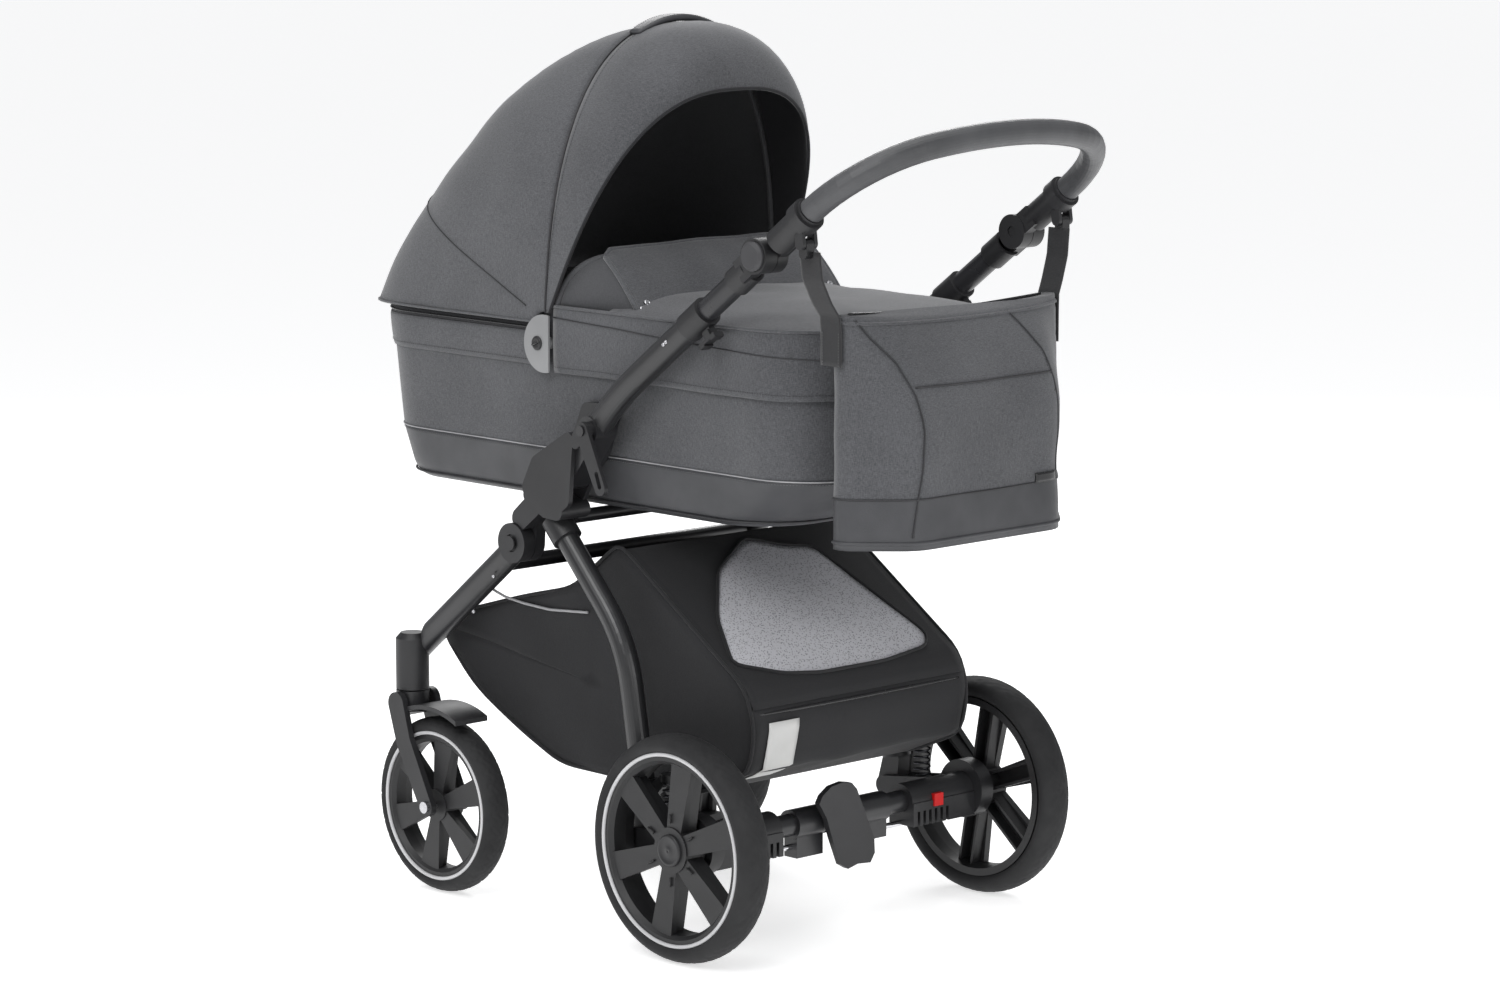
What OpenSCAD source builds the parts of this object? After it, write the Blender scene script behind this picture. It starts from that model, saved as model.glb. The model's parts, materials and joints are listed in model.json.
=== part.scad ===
// Baby stroller: a folding pram chassis with carrycot, hood, basket and changing bag.
// +X is the stroller's left, the handle is at +Y, the head end and the casters are at -Y, +Z is up.
// The chassis is laid out with y = 0 at the rear axle and is then moved so that its box is centred.

/* [Wheels] */
// Outer diameter of a rear tyre
rear_wheel_d = 300; // [270:2:360]
// Outer diameter of a front tyre
front_wheel_d = 243; // [200:1:292]
// Width of a rear tyre
rear_tyre_w = 50.6; // [42:0.2:61]
// Width of a front tyre
front_tyre_w = 41.3; // [34:0.1:50]
// Distance between the rear axle and the front axles
wheelbase = 512.6; // [480:0.2:616]
// Number of spokes in a wheel
spokes = 6; // [5:1:9]
// Width of a spoke where it meets the rim
spoke_w = 38; // [20:1:50]

/* [Frame] */
// Diameter of the push tubes and front legs
tube_d = 35; // [30:0.5:42]
// Diameter of the rear legs
leg_d = 31; // [26:0.5:38]
// Wall of the frame tubes
tube_wall = 2; // [1.5:0.1:3]
// Slope of the push tubes and handle, in degrees
push_slope = 36.5; // [34:0.5:38]
// Height of the fold pivots
pivot_z = 607; // [590:1:640]
// Play around each moving shaft
play = 0.06; // [0.02:0.01:0.1]
// Face gap between parts that turn on each other
face_gap = 0.5; // [0.3:0.1:1]
// Diameter of the fold pins
pin_d = 12; // [10:0.5:14]

/* [Handle] */
// Diameter of the covered grip
grip_d = 33; // [28:0.5:40]
// Radius of the grip's corners
grip_corner_r = 140; // [115:1:160]
// Radius of the grip's flat bow
grip_bow_r = 480; // [420:5:600]
// Length of telescopic tube that shows at rest
stem_reach = 92; // [88:1:112]

/* [Carrycot] */
// Length of the carrycot at its rim
cot_len = 895; // [800:5:920]
// Width of the carrycot at its rim
cot_w = 412; // [350:2:496]
// Height of the carrycot from its base to its rim
cot_h = 261; // [230:1:290]
// Wall of the carrycot
cot_wall = 9; // [6:0.5:14]
// Height of the mattress
mattress_h = 45; // [30:1:70]
// Radius of the hood along its middle bow
hood_r = 388; // [340:2:410]
// Thickness of the hood fabric
hood_t = 5; // [4:0.5:8]

/* [Basket and bag] */
// Width of the basket
basket_w = 400; // [340:2:414]
// Wall of the basket
basket_wall = 5; // [3:0.5:8]
// Width of the bag along its back
bag_w = 400; // [330:2:410]
// Height of the bag
bag_h = 300; // [250:2:310]
// Depth of the bag
bag_depth = 96; // [70:1:110]

/* [Hidden] */
$fn = 48;

// Wheels and axles
rear_r = rear_wheel_d / 2;
front_r = front_wheel_d / 2;
axle_z = rear_r;
lift = axle_z - 150;
tyre_h = 33.8;
rear_seat = rear_r - 26;
front_seat = front_r - 21.5;
rim_band = 10;
ring_d = 5;
axle_d = 12;
front_axle_d = 8;
rear_hub_d = 60;
front_hub_d = 44;

// Side-to-side stations
cot_half = cot_w / 2;
plate_out = cot_half + 9.5;
tube_r = tube_d / 2;
leg_r = leg_d / 2;
stem_r = tube_r - tube_wall - play;
side_clear = 2;
tube_x = plate_out + side_clear + tube_r;
rear_wheel_x = tube_x + leg_r + 5.5 + rear_tyre_w / 2;
front_wheel_x = tube_x + 13.8;

// Fold hub, all in the plane of the side frame
pivot = [-262, pivot_z + lift];
disc = [-361, 503 + pivot_z - 607 + lift];
disc_r = 27;
eye_r = 22;
housing_in = tube_x - tube_r - 8;
housing_out = tube_x + tube_r + 8;
cheek_t = 7;
cross_at = [-30, -66];
adapter_in = cot_half - 5;
eye_in = housing_in + cheek_t + face_gap;
eye_out = housing_out - cheek_t - face_gap;

// Handle line: a straight run above a gentle bend, ending at the pivot
hinge = [108, 922 + pivot_z - 607 + lift];
dir = [cos(push_slope), sin(push_slope)];
straight_len = 300;
bend_r = 400;
bend_a = 14;
bend_top = hinge - straight_len * dir;
bend_c = bend_top + bend_r * [sin(push_slope), -cos(push_slope)];
low_slope = push_slope + bend_a;
bend_low = bend_c + bend_r * [-sin(low_slope), cos(low_slope)];
hinge_r = 23;
collar_at = stem_reach + 56;
under = [sin(push_slope), -cos(push_slope)];
collar_pin = hinge - (collar_at - 3) * dir + (tube_r + 9) * under;

// Rear legs: a straight run, a bend and a straight run down to the knuckle
leg_top = [-292, 541.7 + pivot_z - 607 + lift];
leg_run1 = 144;
leg_h1 = -47.2;
leg_bend_r = 200;
leg_turn = 33.1;
leg_mid = leg_top + leg_run1 * [cos(leg_h1), sin(leg_h1)];
leg_c = leg_mid + leg_bend_r * [sin(leg_h1), -cos(leg_h1)];
leg_h2 = leg_h1 - leg_turn;
leg_low = leg_c + leg_bend_r * [-sin(leg_h2), cos(leg_h2)];
knuckle = [-125, axle_z - 11];
foot = [-117.5, knuckle[1] + 48];
foot_dir = atan2(foot[1] - leg_low[1], foot[0] - leg_low[0]);
foot_run = norm(foot - leg_low);
spring_y = -68;
spring_low = axle_z + 8;
spring_high = axle_z + 70;
spring_d = 25;
spring_wire = 3.2;
spring_turns = 7;

// Front legs and casters
caster_trail = 65;
caster_y = -wheelbase - caster_trail;
caster_low = front_wheel_d + 32;
housing_r = 23;
front_leg_end = [caster_y - 2, caster_low + 54];
front_slope = atan2(disc[1] - front_leg_end[1], disc[0] - front_leg_end[0]);
front_run = norm(disc - front_leg_end);
fork_gap = front_tyre_w / 2 + 4;
fork_t = 9;

// Rear axle
axle_tube_r = 15;
housing_x0 = 122;
drum_r = 40;
drum_in = rear_wheel_x - 41;
drum_out = rear_wheel_x - 18;

// Carrycot and hood
cot_head = -738;
cot_foot = cot_head + cot_len;
rim_z = 816 + pivot_z - 607 + lift;
base_z = rim_z - cot_h;
band_z = base_z + 72;
hood_c = [-338, rim_z - 18];
hood_half = cot_half + 6;
hood_front = hood_c[0] - cot_head + hood_t + 3;
hood_end_q = 2;
hood_pin = [-338, rim_z - 46];
back_low = 180 - asin((rim_z + 4 - hood_c[1]) / hood_front);
visor_lip = 64;
visor_mid = 87;
lip_r = hood_r - 43;
hood_n = 2.4;
rim_n = 7;

// Bag
bag_front = cot_foot + 26;
bag_back = bag_front + bag_depth;
bag_top = 852 + pivot_z - 607 + lift;
bag_low = bag_top - bag_h;
bag_half = bag_w / 2;
clip_at = 88;
clip = hinge + clip_at * dir;
hang = clip + [3, -33];

// Whole box, used to centre the part
y_min = min(hood_c[0] - hood_front, -wheelbase - front_r);
y_max = hinge[0] + grip_reach() * dir[0] + grip_d / 2;
y_shift = -(y_min + y_max) / 2;

// Functions
function grip_turn() = asin((tube_x - grip_corner_r) / (grip_bow_r - grip_corner_r));
function grip_start() = 104;
function grip_reach() = grip_start() + grip_bow_r
    - (grip_bow_r - grip_corner_r) * cos(grip_turn());
function oval(ry, rz, n = 28) = [for (i = [0:n - 1]) [ry * cos(360 * i / n), rz * sin(360 * i / n)]];
function blend3(u, a, b, c) = (1 - u) * (1 - u) * a + 2 * u * (1 - u) * b + u * u * c;
function spow(v, p) = sign(v) * pow(abs(v), p);

// Helpers
module placed() { translate([0, y_shift, 0]) children(); }
module right() { mirror([1, 0, 0]) children(); }
module both() {
    children();
    right() children();
}
module bar_x(x0, x1, p, r) {
    translate([x0, p[0], p[1]]) rotate([0, 90, 0]) cylinder(r = r, h = x1 - x0);
}
module plate_x(x0, x1) {
    translate([x0, 0, 0]) rotate([90, 0, 90]) linear_extrude(x1 - x0) children();
}
module dot(p, r) { translate(p) circle(r); }
module along(x, p, heading) {
    translate([x, p[0], p[1]]) rotate([heading - 90, 0, 0]) children();
}
module rod(x, p, heading, length, r) { along(x, p, heading) cylinder(r = r, h = length); }
// A bend of the side frame runs clockwise about c; each station is [y, z, heading]
function bend_path(c, r, h1, h2, n) = [for (i = [0:n]) let (h = h1 + (h2 - h1) * i / n)
    [c[0] - r * sin(h), c[1] + r * cos(h), h]];
function run_end(p, heading, length) = [p[0] + length * cos(heading), p[1] + length * sin(heading), heading];
module swept_rod(x, path, r) {
    sides = 28;
    n = len(path);
    pts = [for (p = path, j = [0:sides - 1]) let (b = 360 * j / sides)
        [x + r * cos(b), p[0] - r * sin(b) * sin(p[2]), p[1] + r * sin(b) * cos(p[2])]];
    walls = [for (i = [0:n - 2], j = [0:sides - 1]) let (k = (j + 1) % sides, e = i * sides)
        [e + k, e + sides + k, e + sides + j, e + j]];
    polyhedron(pts, concat(walls, [[for (j = [sides - 1:-1:0]) j]],
        [[for (j = [0:sides - 1]) (n - 1) * sides + j]]));
}
module box(x0, x1, y0, y1, z0, z1) {
    translate([x0, y0, z0]) cube([x1 - x0, y1 - y0, z1 - z0]);
}
module slab(z, h, half, y0, y1, r) {
    translate([0, 0, z]) linear_extrude(h) hull()
        for (s = [-1, 1], y = [y0 + r, y1 - r]) translate([s * (half - r), y]) circle(r, $fn = 32);
}

// Fold hubs
module hub_housing() {
    difference() {
        union() {
            plate_x(housing_out - cheek_t, housing_out) hull() {
                dot(pivot + [22, 48], 10);
                dot(pivot + [-38, 8], 14);
                dot(pivot + [-56, -24], 13);
                dot(pivot + [-10, -44], 16);
                dot(pivot + [12, -32], 12);
            }
            plate_x(housing_in, housing_in + cheek_t) hull() {
                dot(pivot, eye_r);
                dot(pivot + [-56, -30], 14);
                dot(pivot + cross_at, 13);
            }
            plate_x(housing_in, housing_out) hull() {
                dot(pivot + [-56, -34], 11);
                dot(pivot + [-24, -46], 15);
                dot(pivot + [-2, -50], 12);
            }
            plate_x(tube_x - 17, tube_x + 17) hull() {
                dot(pivot + [-50, -42], 16);
                dot(disc + [14, 34], 15);
            }
            plate_x(tube_x - 17, tube_x - face_gap) hull() {
                dot(disc + [14, 34], 15);
                dot(disc, disc_r);
            }
            rod(tube_x, leg_top, leg_h1, 34, leg_r + 5);
            // Adapter plate that the carrycot's lug stands against
            plate_x(adapter_in, housing_in + 1) hull() {
                dot(pivot + [-10, 40], 14);
                dot(pivot + [6, 78], 14);
                dot(pivot + [50, 82], 12);
                dot(pivot + [30, 36], 14);
                dot(pivot, 16);
            }
        }
        rod(tube_x, leg_top, leg_h1, 40, leg_r + play);
        bar_x(tube_x - face_gap, tube_x + 30, disc, disc_r + 1);
        plate_x(adapter_in - 1, adapter_in + 5) hull() {
            dot(pivot + [8, 62], 8);
            dot(pivot + [36, 68], 8);
        }
    }
    bar_x(housing_in + cheek_t - 1, housing_out - cheek_t + 1, pivot, pin_d / 2);
    bar_x(tube_x - 1, tube_x + 24, disc, pin_d / 2);
    bar_x(tube_x + 22, tube_x + 24, disc, pin_d / 2 + 4);
}
module cross_tube() { color("#222224") bar_x(-housing_in, housing_in, pivot + cross_at, 9); }
module rear_leg() {
    difference() {
        swept_rod(tube_x, concat([run_end(leg_top, leg_h1, 0)],
            bend_path(leg_c, leg_bend_r, leg_h1, leg_h2, 8),
            [run_end(leg_low, foot_dir, 8), run_end(leg_low, foot_dir, foot_run)]), leg_r);
        rod(tube_x, leg_low + 20 * [cos(foot_dir), sin(foot_dir)], foot_dir, foot_run, leg_r - tube_wall);
    }
}
// The space that the coil spring and its clearance take up
module spring_room() {
    translate([tube_x, spring_y, spring_low - 0.1])
        cylinder(r = spring_d / 2 + 0.8, h = spring_high - spring_low);
}
module leg_knuckle() {
    seat = [spring_y, spring_high];
    difference() {
        union() {
            rod(tube_x, foot - 28 * [cos(foot_dir), sin(foot_dir)], foot_dir, 36, leg_r + 4);
            plate_x(tube_x - 11, tube_x + 11) hull() {
                dot(foot + [0, -10], 15);
                dot(knuckle, 18);
            }
            plate_x(tube_x - 4, tube_x + 4) hull() {
                dot(foot + [6, 8], 10);
                dot(seat + [-6, 6], 6);
            }
            translate([tube_x, spring_y, spring_high]) cylinder(r = spring_d / 2 + 1.5, h = 11);
        }
        rod(tube_x, foot - 30 * [cos(foot_dir), sin(foot_dir)], foot_dir, 30, leg_r + play);
        bar_x(tube_x - 12, tube_x + 12, knuckle, 5 + play);
        spring_room();
    }
}
module leg_knuckles() { color("#1c1c1e") both() leg_knuckle(); }

// Basket: a fabric tub slung between the legs, open towards the carrycot's base
basket_side = [
    [-570, 348], [-513, 292], [-480, 270], [-408, 234], [-326, 200], [-60, 198], [40, 240],
    [52, 300], [34, 352], [-196, 508], [-212, 512], [-300, 444], [-400, 420], [-560, 374]
];
basket_mouth = [
    [-210, 520], [-222, 490], [-300, 432], [-400, 408], [-530, 370], [-560, 420], [-400, 530]
];
module basket() {
    half = basket_w / 2;
    rise = [0, lift];
    color("#141416") difference() {
        plate_x(-half, half) translate(rise) polygon(basket_side);
        plate_x(-half + basket_wall, half - basket_wall) translate(rise)
            offset(delta = -basket_wall) polygon(basket_side);
        plate_x(-half + 30, half - 30) translate(rise) polygon(basket_mouth);
    }
}
// Push tubes
module push_tube() {
    difference() {
        union() {
            rod(tube_x, bend_top + 3 * dir, push_slope, straight_len - collar_at - 3, tube_r);
            swept_rod(tube_x, concat([run_end(bend_low, low_slope, -12)],
                bend_path(bend_c, bend_r, low_slope, push_slope, 5),
                [run_end(bend_top, push_slope, 6)]), tube_r - 0.1);
            plate_x(eye_in, eye_out) hull() {
                dot(pivot, eye_r);
                dot(bend_low - 8 * [cos(low_slope), sin(low_slope)], tube_r + 1);
            }
        }
        rod(tube_x, bend_top + 8 * dir, push_slope, straight_len, stem_r + play);
        bar_x(eye_in - 1, eye_out + 1, pivot, pin_d / 2 + play);
    }
    lever_lug();
}
module slide_collar() {
    start = hinge - (collar_at + 26) * dir;
    difference() {
        union() {
            rod(tube_x, start, push_slope, 42, tube_r + 2.5);
            along(tube_x, start, push_slope) translate([-5, tube_r - 3, 22]) cube([10, 15, 14]);
        }
        rod(tube_x, start - dir, push_slope, 27, tube_r + play);
        rod(tube_x, start, push_slope, 50, stem_r + play);
    }
    bar_x(tube_x - 8, tube_x + 8, collar_pin, 2);
}
module slide_collars() { color("#1e1e20") both() slide_collar(); }
module collar_lever() {
    difference() {
        along(tube_x, hinge - (collar_at + 26) * dir, push_slope) difference() {
            union() {
                translate([-8, tube_r + 13.4, 8]) cube([16, 7, 34]);
                for (x = [-8, 5.4]) translate([x, tube_r + 5, 23]) cube([2.6, 9, 12]);
            }
            translate([-9, tube_r + 18, 18]) cube([18, 4, 14]);
        }
        bar_x(tube_x - 9, tube_x + 9, collar_pin, 2 + play);
    }
}
module stem_tube() {
    inside = 115;
    bottom = hinge - (collar_at + inside) * dir;
    difference() {
        rod(tube_x, bottom, push_slope, collar_at + inside - 31, stem_r);
        rod(tube_x, bottom - dir, push_slope, 400, stem_r - tube_wall);
    }
}
module handle_hinge() {
    difference() {
        union() {
            rod(tube_x, hinge - 64 * dir, push_slope, 34, tube_r + 1.5);
            along(tube_x, hinge - 40 * dir, push_slope)
                translate([face_gap, -tube_r + 2, 0]) cube([tube_r, 2 * tube_r - 4, 38]);
            bar_x(tube_x + face_gap, tube_x + tube_r + 4, hinge, hinge_r);
        }
        rod(tube_x, hinge - 66 * dir, push_slope, 36, stem_r + play);
        bar_x(tube_x + tube_r - 7, tube_x + tube_r + 10, hinge, 19.5);
        bar_x(tube_x - 40, tube_x, hinge, hinge_r + 1);
    }
    bar_x(tube_x - tube_r + 1, tube_x + tube_r - 8, hinge, 7);
}
module handle_hinges() { color("#232325") both() handle_hinge(); }
module hinge_button() {
    bar_x(tube_x + tube_r - 2, tube_x + tube_r + 7, hinge, 19);
    translate([tube_x + tube_r + 7, hinge[0], hinge[1]]) rotate([0, 90, 0])
        cylinder(r1 = 19, r2 = 15, h = 4);
}

// Handle: a U of tube in the sloped plane of the push tubes
module in_handle_plane() {
    translate([0, hinge[0], hinge[1]]) rotate([push_slope, 0, 0]) children();
}
function u_path(start) = let (
    a = grip_turn(), bow_y = grip_reach() - grip_bow_r,
    side = concat(
        [[tube_x, start, 90]],
        [for (q = [0:7.5:90 - a]) [tube_x - grip_corner_r + grip_corner_r * cos(q),
            grip_start() + grip_corner_r * sin(q), 90 + q]],
        [for (q = [90 - a:2:89]) [grip_bow_r * cos(q), bow_y + grip_bow_r * sin(q), 90 + q]]))
    concat(side, [[0, grip_reach(), 180]],
        [for (i = [len(side) - 1:-1:0]) [-side[i][0], side[i][1], 360 - side[i][2]]]);
module swept_tube(path, r_out, r_in, sides) {
    n = len(path);
    g = n * sides;
    pts = [for (r = [r_out, r_in], p = path, j = [0:sides - 1]) let (b = 360 * j / sides)
        [p[0] + r * cos(b) * sin(p[2]), p[1] - r * cos(b) * cos(p[2]), r * sin(b)]];
    quads = [for (i = [0:n - 2], j = [0:sides - 1]) let (k = (j + 1) % sides, e = i * sides)
        [e + j, e + sides + j, e + sides + k, e + k]];
    bore = [for (f = quads) [g + f[3], g + f[2], g + f[1], g + f[0]]];
    near = [for (j = [0:sides - 1]) let (k = (j + 1) % sides) [j, k, g + k, g + j]];
    far = [for (j = [0:sides - 1]) let (k = (j + 1) % sides, e = (n - 1) * sides)
        [e + k, e + j, g + e + j, g + e + k]];
    polyhedron(pts, concat(quads, bore, near, far));
}
module handle_bar() {
    core = grip_d / 2 - 4;
    color("#2a2a2c") in_handle_plane()
        swept_tube(u_path(grip_start() - 28), core, core - tube_wall, 16);
}
// Handle yokes: the upper halves of the tilt hinges
module handle_yoke() {
    difference() {
        union() {
            rod(tube_x, hinge + 30 * dir, push_slope, grip_start() - 32, tube_r + 1);
            along(tube_x, hinge, push_slope)
                translate([-tube_r + 0.5, -tube_r + 3, 0]) cube([tube_r - 1.5, 2 * tube_r - 6, 40]);
            bar_x(tube_x - tube_r - 1, tube_x - face_gap, hinge, hinge_r);
        }
        rod(tube_x, hinge + (grip_start() - 30) * dir, push_slope, 40, grip_d / 2 - 4 + play);
        bar_x(tube_x - 30, tube_x + 1, hinge, 7 + play);
        along(tube_x, hinge, push_slope) translate([-face_gap, -30, -30]) cube([40, 60, 60]);
    }
}
module handle_yokes() { color("#252527") both() handle_yoke(); }
module handle_grip() {
    color("#39393b") in_handle_plane()
        swept_tube(u_path(grip_start() - 1.5), grip_d / 2, grip_d / 2 - 3.7, 28);
}

// Fold levers hook over the legs
module fold_lever() {
    p = pivot + [56, 64];
    x0 = housing_out + 0.6;
    difference() {
        union() {
            plate_x(x0, x0 + 6) hull() {
                dot(p, 12);
                dot(p + [-12, -16], 9);
            }
            plate_x(x0, x0 + 6) hull() {
                dot(p, 12);
                dot(p + [36, -72], 10);
            }
        }
        plate_x(x0 - 1, x0 + 7) hull() {
            dot(p + [30, -54], 3.5);
            dot(p + [36, -70], 3.5);
        }
        bar_x(x0 - 1, x0 + 7, p, 4 + play);
    }
}
module lever_lug() {
    p = pivot + [56, 64];
    plate_x(tube_x + tube_r - 1.5, housing_out) hull() {
        dot(p, 11);
        dot(p + [-6, -8], 9);
    }
    bar_x(housing_out - 1, housing_out + 8, p, 4);
    bar_x(housing_out + 7.2, housing_out + 9, p, 7);
}

// Front frame
module front_leg() {
    u = [cos(front_slope), sin(front_slope)];
    difference() {
        rod(tube_x, front_leg_end, front_slope, front_run - disc_r + 2, tube_r);
        rod(tube_x, front_leg_end + 12 * u, front_slope, front_run, tube_r - tube_wall);
        bar_x(tube_x - 40, tube_x + 40, disc, disc_r + 1);
        translate([front_wheel_x, caster_y, 0]) cylinder(r = housing_r + play, h = 3000);
    }
}
module leg_joint_disc() {
    u = [cos(front_slope), sin(front_slope)];
    difference() {
        union() {
            bar_x(tube_x + face_gap, tube_x + 20, disc, disc_r);
            plate_x(tube_x + face_gap, tube_x + 11) hull() {
                dot(disc, 12);
                dot(disc - (disc_r + 9) * u, 8);
            }
            rod(tube_x, disc - (disc_r + 24) * u, front_slope, 20, tube_r - tube_wall - play);
        }
        bar_x(tube_x - 1, tube_x + 25, disc, pin_d / 2 + play);
        bar_x(tube_x + 17, tube_x + 25, disc, pin_d / 2 + 6);
    }
}
module leg_joint_discs() { color("#18181a") both() leg_joint_disc(); }
module front_cross_tube() {
    p = disc - 60 * [cos(front_slope), sin(front_slope)];
    color("#1a1a1c") bar_x(-(tube_x - tube_r), tube_x - tube_r, p, 10);
}
module caster_housing() {
    x = front_wheel_x;
    difference() {
        union() {
            translate([x, caster_y, caster_low]) cylinder(r = housing_r, h = 70);
            translate([x, caster_y, caster_low + 70]) cylinder(r1 = housing_r, r2 = 16, h = 8);
        }
        translate([x, caster_y, caster_low - 1]) cylinder(r = 8 + play, h = 56);
    }
}
module caster_housings() { color("#1c1c1e") both() caster_housing(); }
module caster_fork() {
    x = front_wheel_x;
    axle = [-wheelbase, front_r];
    crown = caster_low - 2;
    color("#1a1a1c") difference() {
        union() {
            translate([x, caster_y, crown - 28]) cylinder(r = housing_r, h = 28);
            translate([x, caster_y, crown - 1]) cylinder(r = 8, h = 54);
            for (s = [-1, 1]) {
                x0 = x + (s > 0 ? fork_gap : -fork_gap - fork_t);
                plate_x(x0, x0 + fork_t) hull() {
                    dot([caster_y + 3, crown - 16], 16);
                    dot([caster_y + 18, crown - 66], 15);
                }
                plate_x(x0, x0 + fork_t) hull() {
                    dot([caster_y + 18, crown - 66], 15);
                    dot(axle, 13);
                }
            }
            intersection() {
                difference() {
                    bar_x(x - fork_gap - 4, x + fork_gap + 4, axle, front_r + 19);
                    bar_x(x - 60, x + 60, axle, front_r + 13);
                }
                box(x - 60, x + 60, caster_y - 6, caster_y + 124, crown - 60, crown);
            }
        }
        bar_x(x - fork_gap, x + fork_gap, axle, front_r + 7);
        bar_x(x - 60, x + 60, axle, front_axle_d / 2 + play);
    }
}
module front_axle() {
    axle = [-wheelbase, front_r];
    reach = fork_gap + fork_t;
    bar_x(front_wheel_x - reach - 3, front_wheel_x + reach + 3, axle, front_axle_d / 2);
    for (s = [-1, 1]) {
        at = front_wheel_x + s * (reach + 2);
        bar_x(at - 2, at + 2, axle, 8);
    }
}

// Wheels are turned about their axle: a rim with spokes, a tyre and a bright ring
rear_axle_p = [0, axle_z];
front_axle_p = [-wheelbase, front_r];
module wheel(x, axle) { translate([x, axle[0], axle[1]]) rotate([90, 0, 90]) children(); }
module ring_groove(seat, w, spare) {
    translate([0, 0, w * 0.43]) rotate_extrude($fn = 96) translate([seat + 1, 0])
        circle(ring_d / 2 + spare, $fn = 24);
}
module rim(seat, w, bore, hub) {
    inner = seat - rim_band;
    root = hub / 2 * sin(180 / spokes);
    difference() {
        union() {
            rotate_extrude($fn = 96) polygon([
                [inner, -w * 0.42], [seat, -w * 0.42], [seat, -w * 0.3],
                [seat - 3, -w * 0.2], [seat - 3, w * 0.2], [seat, w * 0.3],
                [seat, w * 0.42], [inner + 3, w * 0.42], [inner - 2, w * 0.3],
                [inner - 2, -w * 0.1]
            ]);
            translate([0, 0, -w * 0.4]) cylinder(r = hub / 2, h = w * 0.78);
            for (i = [0:spokes - 1]) rotate([0, 0, 20 + i * 360 / spokes]) {
                translate([0, 0, w * 0.14]) linear_extrude(w * 0.2) polygon([
                    [hub / 2 - 6, 2 - root], [inner + 1, -spoke_w / 2],
                    [inner + 1, spoke_w / 2], [hub / 2 - 6, root - 2]
                ]);
                for (s = [-1, 1]) translate([hub / 2 - 6, s * (root - 4) - 2, -w * 0.2])
                    cube([inner - hub / 2 + 7, 4, w * 0.36]);
            }
        }
        translate([0, 0, -w]) cylinder(r = bore, h = 2 * w);
        ring_groove(seat, w, 0.2);
    }
}
module tyre(r, seat, w) {
    difference() {
        rotate_extrude($fn = 96) translate([r - tyre_h / 2, 0]) polygon(oval(tyre_h / 2, w / 2));
        rotate_extrude($fn = 96) polygon([
            [seat - 20, -w], [seat, -w], [seat, -w * 0.3], [seat - 3, -w * 0.2],
            [seat - 3, w * 0.2], [seat, w * 0.3], [seat, w], [seat - 20, w]
        ]);
        ring_groove(seat, w, 0.2);
    }
}
module rear_rim() {
    color("#1b1b1d") wheel(rear_wheel_x, rear_axle_p) difference() {
        rim(rear_seat, rear_tyre_w, axle_d / 2 + play, rear_hub_d);
        translate([0, 0, -60]) cylinder(r = drum_r + 2, h = 60 - 15);
    }
}
module rear_tyre() {
    color("#151515") wheel(rear_wheel_x, rear_axle_p) tyre(rear_r, rear_seat, rear_tyre_w);
}
module rear_ring() {
    color("#c9c9c9") wheel(rear_wheel_x, rear_axle_p) ring_groove(rear_seat, rear_tyre_w, 0);
}
module front_rim() {
    color("#1b1b1d") wheel(front_wheel_x, front_axle_p)
        rim(front_seat, front_tyre_w, front_axle_d / 2 + play, front_hub_d);
}
module front_tyre() {
    color("#151515") wheel(front_wheel_x, front_axle_p) tyre(front_r, front_seat, front_tyre_w);
}
module front_ring() {
    color("#c9c9c9") wheel(front_wheel_x, front_axle_p) ring_groove(front_seat, front_tyre_w, 0);
}

// Rear axle with its sprung arms, hub drums and brake
module rear_axle_tube() {
    color("#202022") difference() {
        union() {
            bar_x(-housing_x0, housing_x0, rear_axle_p, axle_tube_r);
            for (x = [-86, 34]) bar_x(x, x + 52, rear_axle_p, axle_tube_r + 5);
            box(36, 84, -12, 12, axle_z - 44, axle_z - 8);
            box(-84, -36, -12, 12, axle_z - 40, axle_z - 8);
        }
        bar_x(-500, 500, rear_axle_p, axle_tube_r - tube_wall);
    }
}
module axle_end() {
    arm_in = tube_x - 11 - face_gap;
    arm_out = tube_x + 11 + face_gap;
    difference() {
        union() {
            bar_x(housing_x0, drum_in + 1, rear_axle_p, 24);
            box(housing_x0, drum_in + 1, -20, 26, axle_z - 32, axle_z);
            bar_x(drum_in, drum_out, rear_axle_p, drum_r);
            bar_x(drum_out - 1, rear_wheel_x + rear_tyre_w * 0.4, rear_axle_p, axle_d / 2);
            plate_x(arm_in - 8, arm_in) hull() {
                dot(knuckle, 13);
                dot([-14, axle_z - 4], 20);
            }
            plate_x(arm_out, arm_out + 8) hull() {
                dot(knuckle, 13);
                dot([-14, axle_z - 4], 20);
            }
            box(arm_in - 8, arm_out + 8, spring_y - 12, -10, axle_z - 6, spring_low - 0.2);
            bar_x(arm_in - 8, arm_out + 8, knuckle, 5);
        }
        spring_room();
        for (i = [0:5]) box(housing_x0 + 8 + i * 11, housing_x0 + 13 + i * 11, 0, 40,
            axle_z - 40, axle_z - 12);
        box(housing_x0 + 38, housing_x0 + 56, 10, 40, axle_z - 9, axle_z + 9);
    }
}
module release_button() {
    box(housing_x0 + 38.5, housing_x0 + 55.5, 15.5, 28, axle_z - 8.5, axle_z + 8.5);
}
module brake_rods() {
    color("#d0d0d2") for (x = [[84, housing_x0], [-housing_x0, -84]])
        bar_x(x[0], x[1], [0, axle_z - 30], 4);
}
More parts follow.
